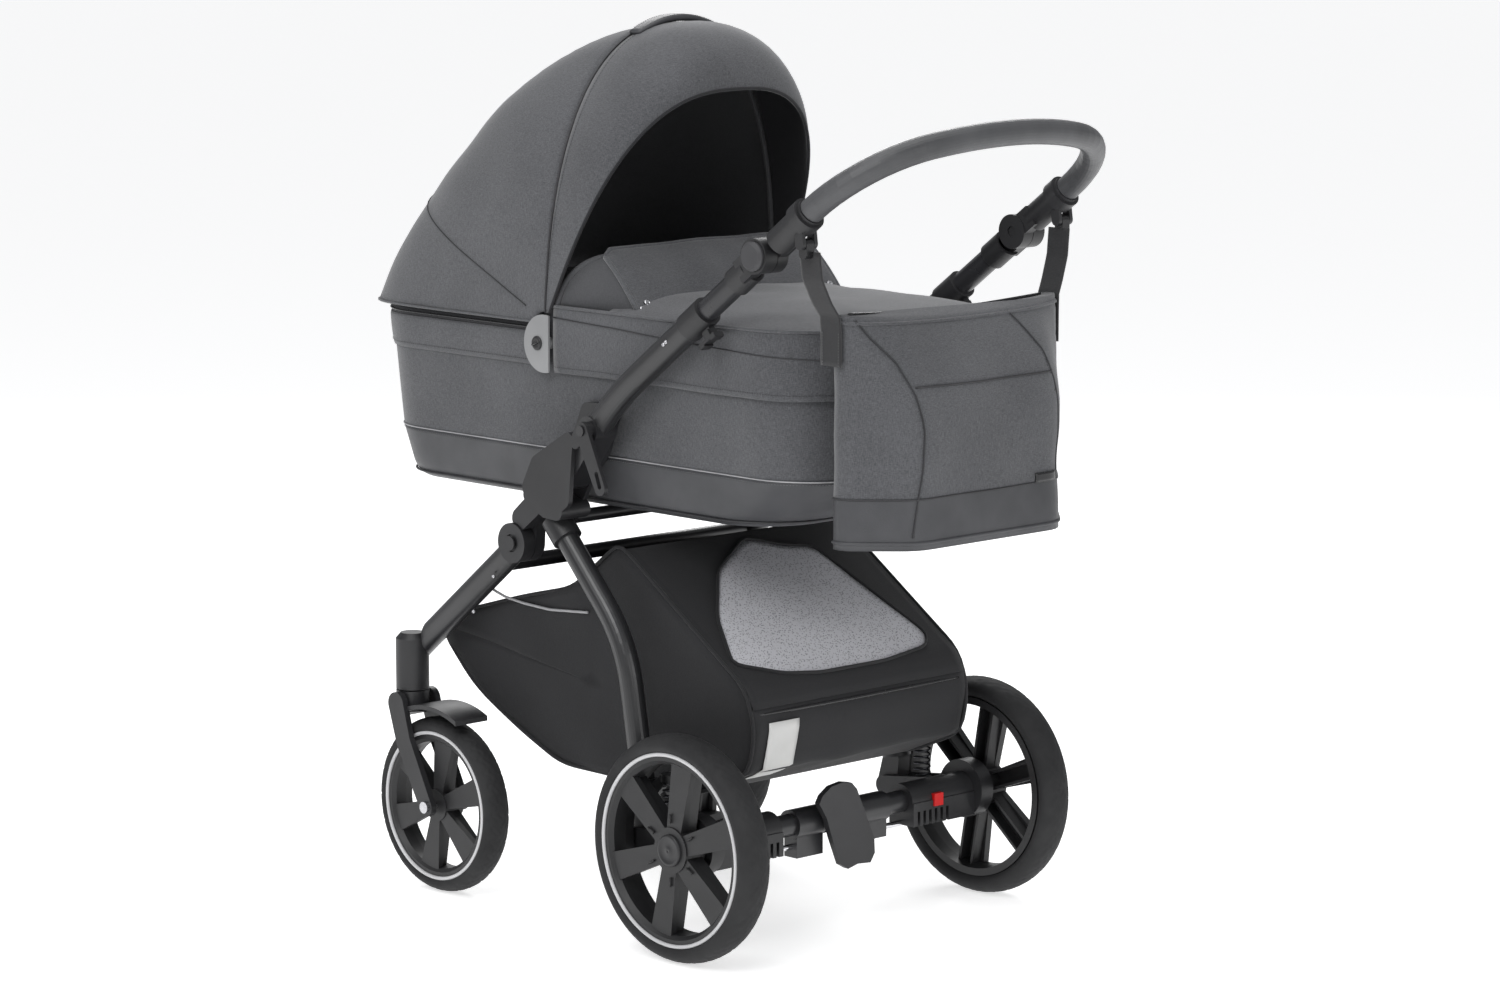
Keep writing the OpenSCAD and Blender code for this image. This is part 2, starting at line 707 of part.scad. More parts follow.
module coil(x) {
    sides = 6;
    steps = 12 * spring_turns;
    rise = spring_high - spring_low - spring_wire - 0.4;
    r = (spring_d - spring_wire) / 2;
    w = spring_wire / 2;
    pts = [for (i = [0:steps], j = [0:sides - 1]) let (a = 30 * i, b = 360 * j / sides)
        [(r + w * cos(b)) * cos(a), (r + w * cos(b)) * sin(a),
         w + 0.2 + rise * i / steps + w * sin(b)]];
    faces = concat(
        [[for (j = [0:sides - 1]) j]],
        [for (i = [0:steps - 1], j = [0:sides - 1]) let (k = (j + 1) % sides)
            [i * sides + j, (i + 1) * sides + j, (i + 1) * sides + k, i * sides + k]],
        [[for (j = [sides - 1:-1:0]) steps * sides + j]]);
    translate([x, spring_y, spring_low]) polyhedron(pts, faces);
}
module suspension_springs() {
    color("#a0a0a4") {
        coil(tube_x);
        coil(-tube_x);
    }
}
module brake_pedal() {
    color("#2b2b2d") difference() {
        union() {
            bar_x(-32, 30, rear_axle_p, axle_tube_r + 5);
            translate([0, 34, 0]) rotate([90, 0, 0]) linear_extrude(9) polygon([
                [-8, axle_z - 62], [-32, axle_z - 64], [-40, axle_z - 52], [-39, axle_z - 32],
                [-20, axle_z + 9], [-6, axle_z + 40], [4, axle_z + 50], [20, axle_z + 53],
                [42, axle_z + 50], [58, axle_z + 40], [64, axle_z + 30], [50, axle_z + 8],
                [40, axle_z - 20], [24, axle_z - 58], [10, axle_z - 66]
            ]);
            box(-24, 24, 8, 30, axle_z - 12, axle_z + 12);
        }
        bar_x(-100, 100, rear_axle_p, axle_tube_r + play);
    }
}

// Carrycot: a tub with a flared rim and a base that rises at the foot
module cot_body(t) {
    hull() {
        slab(rim_z - 6, 6, cot_half - 4 - t, cot_head + t, cot_foot - 3 - t, 110);
        slab(band_z, 1, cot_half - 16 - t, cot_head + 14 + t, cot_foot - 14 - t, 100);
        slab(base_z + t, 1, cot_half - 28 - t, cot_head + 34 + t, cot_foot - 110 - t, 95);
    }
}
module carrycot_shell() {
    color("#4b4c50") difference() {
        union() {
            cot_body(0);
            both() bar_x(cot_half - 24, adapter_in - face_gap, pivot + [20, 64], 12);
        }
        cot_body(cot_wall);
        slab(rim_z - 7, 12, cot_half - 4 - cot_wall, cot_head + cot_wall,
            cot_foot - 3 - cot_wall, 102);
    }
}
module mattress() {
    t = cot_wall + 3;
    color("#ececec") hull() {
        slab(base_z + t, 6, cot_half - 30 - t, cot_head + 38 + t, cot_foot - 116 - t, 85);
        slab(base_z + t + mattress_h - 6, 6, cot_half - 27 - t, cot_head + 34 + t,
            cot_foot - 98 - t, 85);
    }
}
// Apron: a cover over the foot half with a skirt and an upright wind flap
module apron() {
    y0 = -215;
    skirt = 84;
    color("#505155") {
        difference() {
            hull() {
                slab(rim_z - skirt, 4, cot_half, cot_head + 4, cot_foot, 110);
                slab(rim_z + 4, 4, cot_half, cot_head + 4, cot_foot, 108);
                slab(rim_z + 22, 4, cot_half - 60, cot_head + 60, cot_foot - 60, 90);
            }
            hull() {
                slab(rim_z - skirt - 1, 4, cot_half - 3.6, cot_head + 7, cot_foot - 2.6, 107);
                slab(rim_z + 0.5, 1, cot_half - 3.6, cot_head + 7, cot_foot - 2.6, 107);
                slab(rim_z + 17, 1, cot_half - 62, cot_head + 62, cot_foot - 62, 90);
            }
            box(-400, 400, -1200, y0, 0, 3000);
        }
        plate_x(-(cot_half - 20), cot_half - 20) polygon([
            [y0 + 6, rim_z + 10], [y0 - 44, rim_z + 84], [y0 - 38, rim_z + 88],
            [y0 + 22, rim_z + 14], [y0 + 22, rim_z + 10]
        ]);
    }
}

// Hood: bows fan out from one centre, each a squared-off arch. The angle, radius and squareness of
// a bow are functions of u, which runs from 0 at one edge of the shell to 1 at the other.
module bow_shell(angle_of, radius_of, square_of, steps) {
    m = 26;
    nt = m + 1;
    g = (steps + 1) * nt;
    function bow_point(u, k, off) = let (
        a = angle_of(u), r = radius_of(u) - off, w = hood_half - off, p = 2 / square_of(u),
        q = hood_end_q + (180 - 2 * hood_end_q) * k / m, s = r * pow(sin(q), p))
        [w * spow(cos(q), p), hood_c[0] + s * cos(a), hood_c[1] + s * sin(a)];
    pts = [for (off = [0, hood_t], i = [0:steps], k = [0:m]) bow_point(i / steps, k, off)];
    skin = [for (i = [0:steps - 1], k = [0:m - 1]) let (e = i * nt + k)
        each [[e, e + nt + 1, e + nt], [e, e + 1, e + nt + 1]]];
    lining = [for (f = skin) [g + f[0], g + f[2], g + f[1]]];
    first = [for (k = [0:m - 1]) each [[k, g + k + 1, k + 1], [k, g + k, g + k + 1]]];
    last = [for (k = [0:m - 1]) let (e = steps * nt + k)
        each [[e, e + 1, g + e + 1], [e, g + e + 1, g + e]]];
    low = [for (i = [0:steps - 1]) let (e = i * nt)
        each [[e, g + e + nt, g + e], [e, e + nt, g + e + nt]]];
    high = [for (i = [0:steps - 1]) let (e = i * nt + m)
        each [[e, g + e, g + e + nt], [e, g + e + nt, e + nt]]];
    polyhedron(pts, concat(skin, lining, first, last, low, high));
}
module hood_visor() {
    color("#4d4e52") bow_shell(
        function(u) blend3(u, visor_lip, visor_lip + 6, visor_mid),
        function(u) blend3(u, lip_r, hood_r + 37, hood_r + 3),
        function(u) hood_n + 0.3 * (1 - u), 8);
}
module hood_back() {
    color("#4a4b4f") bow_shell(
        function(u) visor_mid + 0.5 + (back_low - visor_mid - 0.5) * u,
        function(u) hood_r + 3 + (hood_front - hood_r - 3) * u - (44 + 50 * u) * sin(180 * u),
        function(u) hood_n + (rim_n - hood_n) * u, 16);
}
module hood_plates() {
    color("#8e9092") both() {
        difference() {
            bar_x(hood_half + 0.6, plate_out, hood_pin, 39);
            box(hood_half - 1, plate_out + 1, hood_pin[0] + 10, hood_pin[0] + 60,
                hood_pin[1] - 60, hood_pin[1] + 60);
        }
        bar_x(cot_half - 3, hood_half + 1, hood_pin, 8);
    }
}
// Carry handle: a low arched strap across the top of the middle bow
module carry_handle() {
    top = hood_c[1] + hood_r + 3;
    y0 = hood_c[0] + (hood_r + 3) * cos(visor_mid);
    bow = 205;
    half = 76;
    color("#3a3a3c") intersection() {
        difference() {
            translate([0, y0 + 24, top - bow]) rotate([90, 0, 0]) cylinder(r = bow + 11, h = 24);
            translate([0, y0 + 25, top - bow]) rotate([90, 0, 0]) cylinder(r = bow + 4.8, h = 26);
        }
        box(-half, half, y0 - 1, y0 + 30, top - 60, top + 30);
    }
}

// Changing bag: a tapered pouch that hangs from the handle on two straps
module bag() {
    color("#4c4d51") hull() {
        translate([0, 0, bag_low]) linear_extrude(bag_h) for (s = [-1, 1]) {
            translate([s * (bag_half - 14), bag_front + 14]) circle(14, $fn = 32);
            translate([s * (bag_half - 80), bag_back - 18]) circle(18, $fn = 32);
        }
    }
}
module bag_clips() {
    color("#1d1d1f") both() {
        difference() {
            rod(tube_x, clip - 9 * dir, push_slope, 18, tube_r + 5);
            rod(tube_x, clip - 10 * dir, push_slope, 20, tube_r + 1.1);
        }
        for (x = [tube_x - 13, tube_x + 7.5]) difference() {
            plate_x(x, x + 5.5) hull() {
                dot(hang, 7);
                dot(hang + [-2, 14], 7);
            }
            rod(tube_x, clip - 30 * dir, push_slope, 60, tube_r + 2);
        }
        bar_x(tube_x - 13, tube_x + 13, hang, 3);
    }
}
module bag_buckles() {
    color("#232325") both() difference() {
        plate_x(tube_x - 6.8, tube_x + 6.8) hull() {
            dot(hang, 7);
            dot(hang + [0, -12], 7);
        }
        bar_x(tube_x - 8, tube_x + 8, hang, 3 + play);
    }
}
module bag_straps() {
    half = 20;
    y0 = hang[0];
    z0 = hang[1] - 20.5;
    x_low = bag_half + 0.5;
    color("#111113") both() {
        hull() {
            box(tube_x - 2, tube_x + 2, y0 - half, y0 + half, z0 - 8, z0);
            box(x_low, x_low + 4, y0 - half + 14, y0 + half, bag_top - 4, bag_top);
        }
        box(x_low, x_low + 3, y0 - half + 14, y0 + half, bag_top - 70, bag_top - 3);
    }
}

placed() color("#1f1f21") hub_housing();  // hub_housing_left
placed() color("#1f1f21") right() hub_housing();  // hub_housing_right
placed() cross_tube();
placed() color("#19191b") rear_leg();  // rear_leg_left
placed() color("#19191b") right() rear_leg();  // rear_leg_right
placed() leg_knuckles();
placed() basket();
placed() color("#242426") both() fold_lever();  // fold_levers
placed() color("#232326") push_tube();  // push_tube_left
placed() color("#232326") right() push_tube();  // push_tube_right
placed() slide_collars();
placed() color("#242426") both() collar_lever();  // collar_levers
placed() color("#1a1a1c") stem_tube();  // stem_tube_left
placed() color("#1a1a1c") right() stem_tube();  // stem_tube_right
placed() handle_hinges();
placed() handle_yokes();
placed() handle_bar();
placed() handle_grip();
placed() color("#2c2c2e") hinge_button();  // hinge_button_left
placed() color("#2c2c2e") right() hinge_button();  // hinge_button_right
placed() color("#1d1d1f") front_leg();  // front_leg_left
placed() color("#1d1d1f") right() front_leg();  // front_leg_right
placed() leg_joint_discs();
placed() front_cross_tube();
placed() caster_housings();
placed() caster_fork();  // caster_fork_left
placed() right() caster_fork();  // caster_fork_right
placed() color("#8f8f93") front_axle();  // front_axle_left
placed() color("#8f8f93") right() front_axle();  // front_axle_right
placed() front_rim();  // front_rim_left
placed() right() front_rim();  // front_rim_right
placed() front_tyre();  // front_tyre_left
placed() right() front_tyre();  // front_tyre_right
placed() front_ring();  // front_ring_left
placed() right() front_ring();  // front_ring_right
placed() rear_axle_tube();
placed() color("#1b1b1d") axle_end();  // axle_end_left
placed() color("#1b1b1d") right() axle_end();  // axle_end_right
placed() brake_rods();
placed() suspension_springs();
placed() brake_pedal();
placed() color("#d01818") release_button();  // release_button_left
placed() color("#d01818") right() release_button();  // release_button_right
placed() rear_rim();  // rear_rim_left
placed() right() rear_rim();  // rear_rim_right
placed() rear_tyre();  // rear_tyre_left
placed() right() rear_tyre();  // rear_tyre_right
placed() rear_ring();  // rear_ring_left
placed() right() rear_ring();  // rear_ring_right
placed() carrycot_shell();
placed() mattress();
placed() apron();
placed() hood_plates();
placed() hood_visor();
placed() hood_back();
placed() carry_handle();
placed() bag_clips();
placed() bag_buckles();
placed() bag();
placed() bag_straps();
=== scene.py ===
"""Baby stroller (pram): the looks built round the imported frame. Lengths in the pieces are millimetres
from the rear axle (x, y) and from the floor (z); place() turns them into the frame's metres."""

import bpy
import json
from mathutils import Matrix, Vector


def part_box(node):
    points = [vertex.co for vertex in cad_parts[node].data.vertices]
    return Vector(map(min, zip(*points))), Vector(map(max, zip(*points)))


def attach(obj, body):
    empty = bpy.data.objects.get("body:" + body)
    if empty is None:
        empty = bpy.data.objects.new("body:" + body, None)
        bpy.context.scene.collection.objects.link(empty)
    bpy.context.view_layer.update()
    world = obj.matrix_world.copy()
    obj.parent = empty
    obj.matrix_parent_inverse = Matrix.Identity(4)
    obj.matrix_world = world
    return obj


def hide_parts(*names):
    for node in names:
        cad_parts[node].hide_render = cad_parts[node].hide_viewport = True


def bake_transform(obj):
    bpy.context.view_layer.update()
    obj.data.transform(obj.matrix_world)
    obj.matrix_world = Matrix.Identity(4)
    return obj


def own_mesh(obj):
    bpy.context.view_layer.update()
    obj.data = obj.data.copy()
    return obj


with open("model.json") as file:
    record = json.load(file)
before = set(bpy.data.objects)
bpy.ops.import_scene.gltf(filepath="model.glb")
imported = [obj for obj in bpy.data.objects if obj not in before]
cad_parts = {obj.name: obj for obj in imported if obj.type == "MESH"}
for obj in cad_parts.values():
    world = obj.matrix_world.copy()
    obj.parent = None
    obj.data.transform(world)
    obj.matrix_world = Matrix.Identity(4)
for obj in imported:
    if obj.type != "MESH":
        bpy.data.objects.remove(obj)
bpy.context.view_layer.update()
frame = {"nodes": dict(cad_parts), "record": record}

import json
from math import asin, atan2, copysign, cos, exp, pi, radians, sin, sqrt
import bpy
import bmesh
import numpy as np
from mathutils import Vector, noise
from mathutils.bvhtree import BVHTree

SCENE = bpy.context.scene
NODES = frame["nodes"]
rear_low, rear_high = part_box("rear_tyre_left")
AXLE_Y = (rear_low.y + rear_high.y) / 2
MM = 0.001


def place(x, y, z):
    """A point in millimetres from the rear axle, in the frame's metres."""
    return Vector((x * MM, y * MM + AXLE_Y, z * MM))


def node_mm(node):
    """A CAD node's lowest and highest corners in millimetres from the rear axle."""
    low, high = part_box(node)
    return [[c.x / MM, (c.y - AXLE_Y) / MM, c.z / MM] for c in (low, high)]


# ---------------------------------------------------------------- camera
CAMERA_AT = (4231.0, 4249.1, 1499.4)
CAMERA_BACK = Vector((0.6839, 0.7135, 0.1525))
FOCAL = 110.53
camera_data = bpy.data.cameras.new("camera")
camera_data.lens = FOCAL
camera_data.sensor_width = 36
camera_data.clip_end = 50
camera = bpy.data.objects.new("camera", camera_data)
camera.location = place(*CAMERA_AT)
camera.rotation_euler = CAMERA_BACK.to_track_quat("Z", "Y").to_euler()
SCENE.collection.objects.link(camera)
SCENE.camera = camera

# ---------------------------------------------------------------- materials


class Shader:
    """Short calls for building one node material on object coordinates, in metres."""

    def __init__(self, name, **sockets):
        self.mat = bpy.data.materials.new(name)
        self.mat.use_nodes = True
        self.tree = self.mat.node_tree
        self.bsdf = self.tree.nodes["Principled BSDF"]
        for key, value in sockets.items():
            self.bsdf.inputs[key.replace("_", " ")].default_value = value
        self.coords = self.tree.nodes.new("ShaderNodeTexCoord").outputs["Object"]

    def node(self, kind, **values):
        made = self.tree.nodes.new("ShaderNode" + kind)
        for key, value in values.items():
            if key[0].isupper():
                made.inputs[key.replace("_", " ")].default_value = value
            else:
                setattr(made, key, value)
        return made

    def link(self, a, b):
        self.tree.links.new(a, b)

    def noise(self, scale, detail=2.0, rough=0.5, stretch=(1, 1, 1)):
        """Noise whose grain is 1/scale metres, drawn out along the axes where stretch is small."""
        mapping = self.node("Mapping")
        mapping.inputs["Scale"].default_value = [scale * s for s in stretch]
        self.link(self.coords, mapping.inputs["Vector"])
        made = self.node("TexNoise", Scale=1.0, Detail=detail, Roughness=rough)
        self.link(mapping.outputs["Vector"], made.inputs["Vector"])
        return made.outputs["Fac"]

    def cells(self, scale, feature="F1", stretch=(1, 1, 1)):
        mapping = self.node("Mapping")
        mapping.inputs["Scale"].default_value = [scale * s for s in stretch]
        self.link(self.coords, mapping.inputs["Vector"])
        made = self.node("TexVoronoi", feature=feature, Scale=1.0)
        self.link(mapping.outputs["Vector"], made.inputs["Vector"])
        return made.outputs["Distance"]

    def math(self, operation, a, b):
        made = self.node("Math", operation=operation)
        for socket, value in zip(made.inputs, (a, b)):
            if isinstance(value, (int, float)):
                socket.default_value = value
            else:
                self.link(value, socket)
        return made.outputs[0]

    def ramp(self, value, stops):
        made = self.node("ValToRGB")
        ramp = made.color_ramp
        while len(ramp.elements) < len(stops):
            ramp.elements.new(0.5)
        for element, (at, colour) in zip(ramp.elements, stops):
            element.position = at
            element.color = (*colour, 1)
        self.link(value, made.inputs["Fac"])
        return made.outputs["Color"]

    def colour(self, value, low, high, start=0.3, end=0.7):
        self.link(self.ramp(value, [(start, low), (end, high)]), self.bsdf.inputs["Base Color"])

    def rough(self, value, low, high):
        made = self.node("MapRange", To_Min=low, To_Max=high)
        self.link(value, made.inputs["Value"])
        self.link(made.outputs["Result"], self.bsdf.inputs["Roughness"])

    def bump(self, value, strength, distance):
        made = self.node("Bump", Strength=strength, Distance=distance)
        self.link(value, made.inputs["Height"])
        self.link(made.outputs["Normal"], self.bsdf.inputs["Normal"])


def melange(name, low, high, sheen=0.25):
    """Heathered weave: short light and dark threads in two directions over a fine weave relief."""
    s = Shader(name, Sheen_Weight=sheen, Sheen_Roughness=0.5)
    across = s.noise(620, 2.5, 0.6, (0.35, 0.35, 2.6))
    upright = s.noise(620, 2.5, 0.6, (2.2, 2.2, 0.3))
    cloud = s.noise(7, 2)
    heather = s.math("ADD", s.math("MULTIPLY", s.math("ADD", across, upright), 0.42),
                     s.math("MULTIPLY", cloud, 0.16))
    s.colour(heather, low, high, 0.38, 0.62)
    s.rough(across, 0.72, 0.95)
    s.bump(s.math("ADD", across, upright), 0.35, 0.0006)
    return s.mat


def leatherette(name, low, high, rough=(0.38, 0.55)):
    """Smooth coated cloth with a fine pebbled grain."""
    s = Shader(name, Specular_IOR_Level=0.4)
    grain = s.cells(900)
    cloud = s.noise(14, 3)
    s.colour(cloud, low, high)
    s.rough(s.noise(60, 3), *rough)
    s.bump(s.math("ADD", grain, s.math("MULTIPLY", cloud, 0.5)), 0.3, 0.0005)
    return s.mat


def plastic(name, low, high, rough=(0.36, 0.52), grain=1400.0, relief=0.18):
    """Moulded plastic: a fine spark-eroded grain with faint handling marks."""
    s = Shader(name, Specular_IOR_Level=0.5)
    s.colour(s.noise(9, 3), low, high)
    s.rough(s.noise(24, 4, 0.65), *rough)
    s.bump(s.noise(grain, 2), relief, 0.0003)
    return s.mat


def paint(name, low, high, rough=(0.28, 0.42), coat=0.25):
    """Powder-coated tube: orange-peel relief and soft wear in the gloss."""
    s = Shader(name, Coat_Weight=coat, Coat_Roughness=0.3)
    s.colour(s.noise(6, 3), low, high)
    s.rough(s.noise(18, 4, 0.6), *rough)
    s.bump(s.noise(520, 2), 0.12, 0.0003)
    return s.mat


def metal(name, low, high, rough=(0.18, 0.34), stretch=(1, 1, 1)):
    s = Shader(name, Metallic=1.0)
    lines = s.noise(700, 2, 0.5, stretch)
    s.colour(lines, low, high)
    s.rough(lines, *rough)
    s.bump(lines, 0.08, 0.0002)
    return s.mat


def rubber(name, low, high):
    """Tyre rubber: matt, with moulding bloom and a fine sandy grain."""
    s = Shader(name, Specular_IOR_Level=0.35)
    s.colour(s.noise(12, 4, 0.6), low, high)
    s.rough(s.noise(30, 3), 0.6, 0.85)
    s.bump(s.noise(900, 3), 0.25, 0.0004)
    return s.mat


def netting(name, thread, eye_shade):
    """Knitted net: light threads round small round eyes, with painted shade in the eyes: a darker grey for the
    shaded far side of the net seen through them.
    """
    s = Shader(name, Roughness=0.75, Sheen_Weight=0.1)
    eyes = s.cells(330)
    # painted shade: the eyes take a darker grey for the net's shaded far side
    s.link(s.ramp(eyes, [(0.22, eye_shade), (0.42, thread)]), s.bsdf.inputs["Base Color"])
    s.bump(eyes, 0.6, 0.0008)
    return s.mat


def webbing(name, low, high):
    s = Shader(name, Sheen_Weight=0.2)
    weave = s.noise(500, 1, 0.4, (0.4, 0.4, 3.5))
    s.colour(weave, low, high)
    s.rough(weave, 0.65, 0.9)
    s.bump(weave, 0.5, 0.0006)
    return s.mat


CLOTH = melange("charcoal_melange", (0.030, 0.031, 0.035), (0.098, 0.100, 0.108))
CLOTH_INNER = melange("inner_melange", (0.040, 0.041, 0.045), (0.066, 0.067, 0.072), 0.15)
SKIN = leatherette("dark_leatherette", (0.040, 0.041, 0.045), (0.062, 0.063, 0.068))
GRIP = leatherette("grip_leatherette", (0.050, 0.051, 0.054), (0.074, 0.075, 0.079), (0.3, 0.46))
LINING = melange("black_lining", (0.0045, 0.0045, 0.006), (0.011, 0.011, 0.014), 0.1)
PIPING = leatherette("piping", (0.020, 0.020, 0.022), (0.034, 0.034, 0.037))
THREAD = leatherette("stitching", (0.10, 0.10, 0.105), (0.15, 0.15, 0.155))
COTTON = melange("mattress_cotton", (0.56, 0.56, 0.55), (0.78, 0.78, 0.77))
BASKET = melange("basket_polyester", (0.0055, 0.0055, 0.0065), (0.012, 0.012, 0.014), 0.06)
# the second colour is painted shade for the net's eyes, standing in for the shaded far side seen through the holes
NET = netting("basket_net", (0.50, 0.50, 0.53), (0.20, 0.20, 0.215))
REFLECT = leatherette("reflective_piping", (0.26, 0.26, 0.27), (0.38, 0.38, 0.39))
LABEL = leatherette("blank_label", (0.50, 0.50, 0.49), (0.62, 0.62, 0.61))
STRAP = webbing("black_webbing", (0.006, 0.006, 0.007), (0.018, 0.018, 0.020))
BLACK = plastic("moulded_black", (0.012, 0.012, 0.013), (0.020, 0.020, 0.022))
BLACK_GLOSS = plastic("buckle_black", (0.010, 0.010, 0.011), (0.016, 0.016, 0.017), (0.2, 0.34))
DARK_SOFT = plastic("soft_button", (0.034, 0.034, 0.037), (0.048, 0.048, 0.052), (0.5, 0.65))
GREY = plastic("pivot_grey", (0.21, 0.213, 0.217), (0.27, 0.272, 0.277), (0.3, 0.42))
RING = plastic("ring_grey", (0.50, 0.50, 0.51), (0.60, 0.60, 0.61), (0.3, 0.45))
RED = plastic("button_red", (0.55, 0.008, 0.008), (0.66, 0.014, 0.014), (0.25, 0.4))
PAINT = paint("frame_paint", (0.011, 0.011, 0.012), (0.018, 0.018, 0.020))
ANODISED = paint("stem_anodised", (0.016, 0.016, 0.018), (0.028, 0.028, 0.031), (0.22, 0.34), 0.0)
RIM = plastic("rim_black", (0.010, 0.010, 0.011), (0.017, 0.017, 0.018), (0.4, 0.55))
TYRE = rubber("tyre_rubber", (0.012, 0.012, 0.013), (0.024, 0.024, 0.025))
STEEL = metal("zinc_steel", (0.42, 0.42, 0.44), (0.60, 0.60, 0.62))
CHROME = metal("bright_chrome", (0.66, 0.66, 0.68), (0.84, 0.84, 0.86), (0.06, 0.14))
SPRING = metal("spring_steel", (0.05, 0.05, 0.055), (0.11, 0.11, 0.12), (0.3, 0.45))

SLOT_LOOKS = {
    "frame_paint": PAINT, "stem_anodised": ANODISED, "plastic_black": BLACK, "button_soft": DARK_SOFT,
    "handle_core": PAINT, "grip_leatherette": GRIP, "axle_steel": STEEL, "chrome_rod": CHROME,
    "spring_steel": SPRING, "rim_plastic": RIM, "tyre": TYRE, "ring_grey": RING, "button_red": RED,
    "basket_cloth": BASKET, "cot_melange": CLOTH, "hood_melange": CLOTH, "mattress_cotton": COTTON,
    "pivot_grey": GREY, "strap_leatherette": SKIN, "webbing": STRAP, "buckle_black": BLACK_GLOSS,
    "bag_melange": CLOTH,
}
for part in frame["record"]["subparts"]:
    cad = NODES[part["node"]]
    cad.data.materials.clear()
    cad.data.materials.append(SLOT_LOOKS[part["material_slot"]])

# ---------------------------------------------------------------- mesh helpers
SIDES = ((1, "left"), (-1, "right"))
COT_ON, HOOD_ON = ("carrycot", "cot_melange"), ("hood", "hood_melange")
BAG_ON, BASKET_ON = ("bag", "bag_melange"), ("chassis", "basket_cloth")


def piece(name, verts, faces, body, slot, looks, smooth=True, face_looks=None):
    """A new mesh piece. verts are millimetres; face_looks gives each face's index into looks."""
    mesh = bpy.data.meshes.new(name)
    mesh.from_pydata([place(*v) for v in verts], [], faces)
    mesh.validate()
    looks = looks if isinstance(looks, (list, tuple)) else [looks]
    for look in looks:
        mesh.materials.append(look)
    if face_looks is not None:
        mesh.polygons.foreach_set("material_index", face_looks)
    obj = bpy.data.objects.new(name, mesh)
    SCENE.collection.objects.link(obj)
    bm = bmesh.new()
    bm.from_mesh(mesh)
    bmesh.ops.recalc_face_normals(bm, faces=bm.faces)
    bm.to_mesh(mesh)
    bm.free()
    if smooth:
        mesh.shade_smooth()
    if body:
        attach(obj, body)
    return obj


def subdivide(obj, levels=1):
    modifier = obj.modifiers.new("smooth", "SUBSURF")
    modifier.levels = levels
    modifier.render_levels = levels
    return obj


def settle(obj):
    """Applies every modifier, so that the mesh is final."""
    graph = bpy.context.evaluated_depsgraph_get()
    mesh = bpy.data.meshes.new_from_object(obj.evaluated_get(graph))
    obj.modifiers.clear()
    obj.data = mesh
    return obj


def grid(rows, closed_rows=False, closed_ring=True, start=0):
    """Faces that join rings of points; rows is (number of rings, points in a ring)."""
    n, m = rows
    faces = []
    for i in range(n if closed_rows else n - 1):
        for j in range(m if closed_ring else m - 1):
            a, b = start + i * m, start + ((i + 1) % n) * m
            k = (j + 1) % m
            faces.append((a + j, a + k, b + k, b + j))
    return faces


def loft(name, rings, body, slot, looks, caps=(True, True), **extra):
    """Closed rings joined in order, with flat caps at the ends asked for."""
    m = len(rings[0])
    verts = [p for ring in rings for p in ring]
    faces = grid((len(rings), m))
    if caps[0]:
        faces.append(tuple(range(m)))
    if caps[1]:
        faces.append(tuple((len(rings) - 1) * m + j for j in range(m)))
    return piece(name, verts, faces, body, slot, looks, **extra)


def sheet_shell(outer, inner):
    """Vertices and faces of a thin closed skin from two grids of points, outer and inner."""
    n, m = len(outer), len(outer[0])
    verts = [p for row in outer for p in row] + [p for row in inner for p in row]
    off = n * m
    faces = [(i * m + j, i * m + j + 1, (i + 1) * m + j + 1, (i + 1) * m + j)
             for i in range(n - 1) for j in range(m - 1)]
    count = len(faces)
    faces += [tuple(off + v for v in reversed(f)) for f in faces[:count]]
    edge = ([j for j in range(m - 1)] + [i * m + m - 1 for i in range(n - 1)]
            + [(n - 1) * m + j for j in range(m - 1, 0, -1)] + [i * m for i in range(n - 1, 0, -1)])
    for a, b in zip(edge, edge[1:] + edge[:1]):
        faces.append((b, a, off + a, off + b))
    return verts, faces, count


def skin(name, rows, thickness, body, slot, look):
    """A thin cloth from a grid of points; thickness is the vector from its inner to its outer face."""
    inner = [[p - Vector(thickness) for p in row] for row in rows]
    verts, faces, _ = sheet_shell(rows, inner)
    return piece(name, verts, faces, body, slot, look)


def frames_along(path, closed):
    """Unit tangent and two side vectors at each point of a path, turned as little as possible."""
    pts = [Vector(p) for p in path]
    n = len(pts)
    tangents = []
    for i in range(n):
        ahead = pts[(i + 1) % n] if closed or i + 1 < n else pts[i]
        behind = pts[i - 1] if closed or i > 0 else pts[i]
        tangents.append((ahead - behind).normalized())
    side = tangents[0].orthogonal().normalized()
    out = []
    for p, t in zip(pts, tangents):
        side = (side - t * side.dot(t)).normalized()
        out.append((p, t, side, t.cross(side)))
    return out


def tube(name, path, radius, body, slot, look, sides=8, closed=False, flat=1.0):
    """A round or flattened cord swept along a path of millimetre points."""
    verts = []
    for p, _, a, b in frames_along(path, closed):
        for j in range(sides):
            w = 2 * pi * j / sides
            verts.append(p + (a * cos(w) + b * (sin(w) * flat)) * radius)
    faces = grid((len(path), sides), closed_rows=closed)
    if not closed:
        faces.append(tuple(range(sides)))
        faces.append(tuple((len(path) - 1) * sides + j for j in range(sides)))
    return piece(name, verts, faces, body, slot, look)


def resample(path, pitch, closed=False):
    """Points every pitch millimetres along a path."""
    pts = [Vector(p) for p in path] + ([Vector(path[0])] if closed else [])
    run = [0.0]
    for a, b in zip(pts, pts[1:]):
        run.append(run[-1] + (b - a).length)
    count = max(2, round(run[-1] / pitch))
    spots = np.linspace(0, run[-1], count + (0 if closed else 1), endpoint=not closed)
    return [Vector([np.interp(s, run, [p[k] for p in pts]) for k in range(3)]) for s in spots]


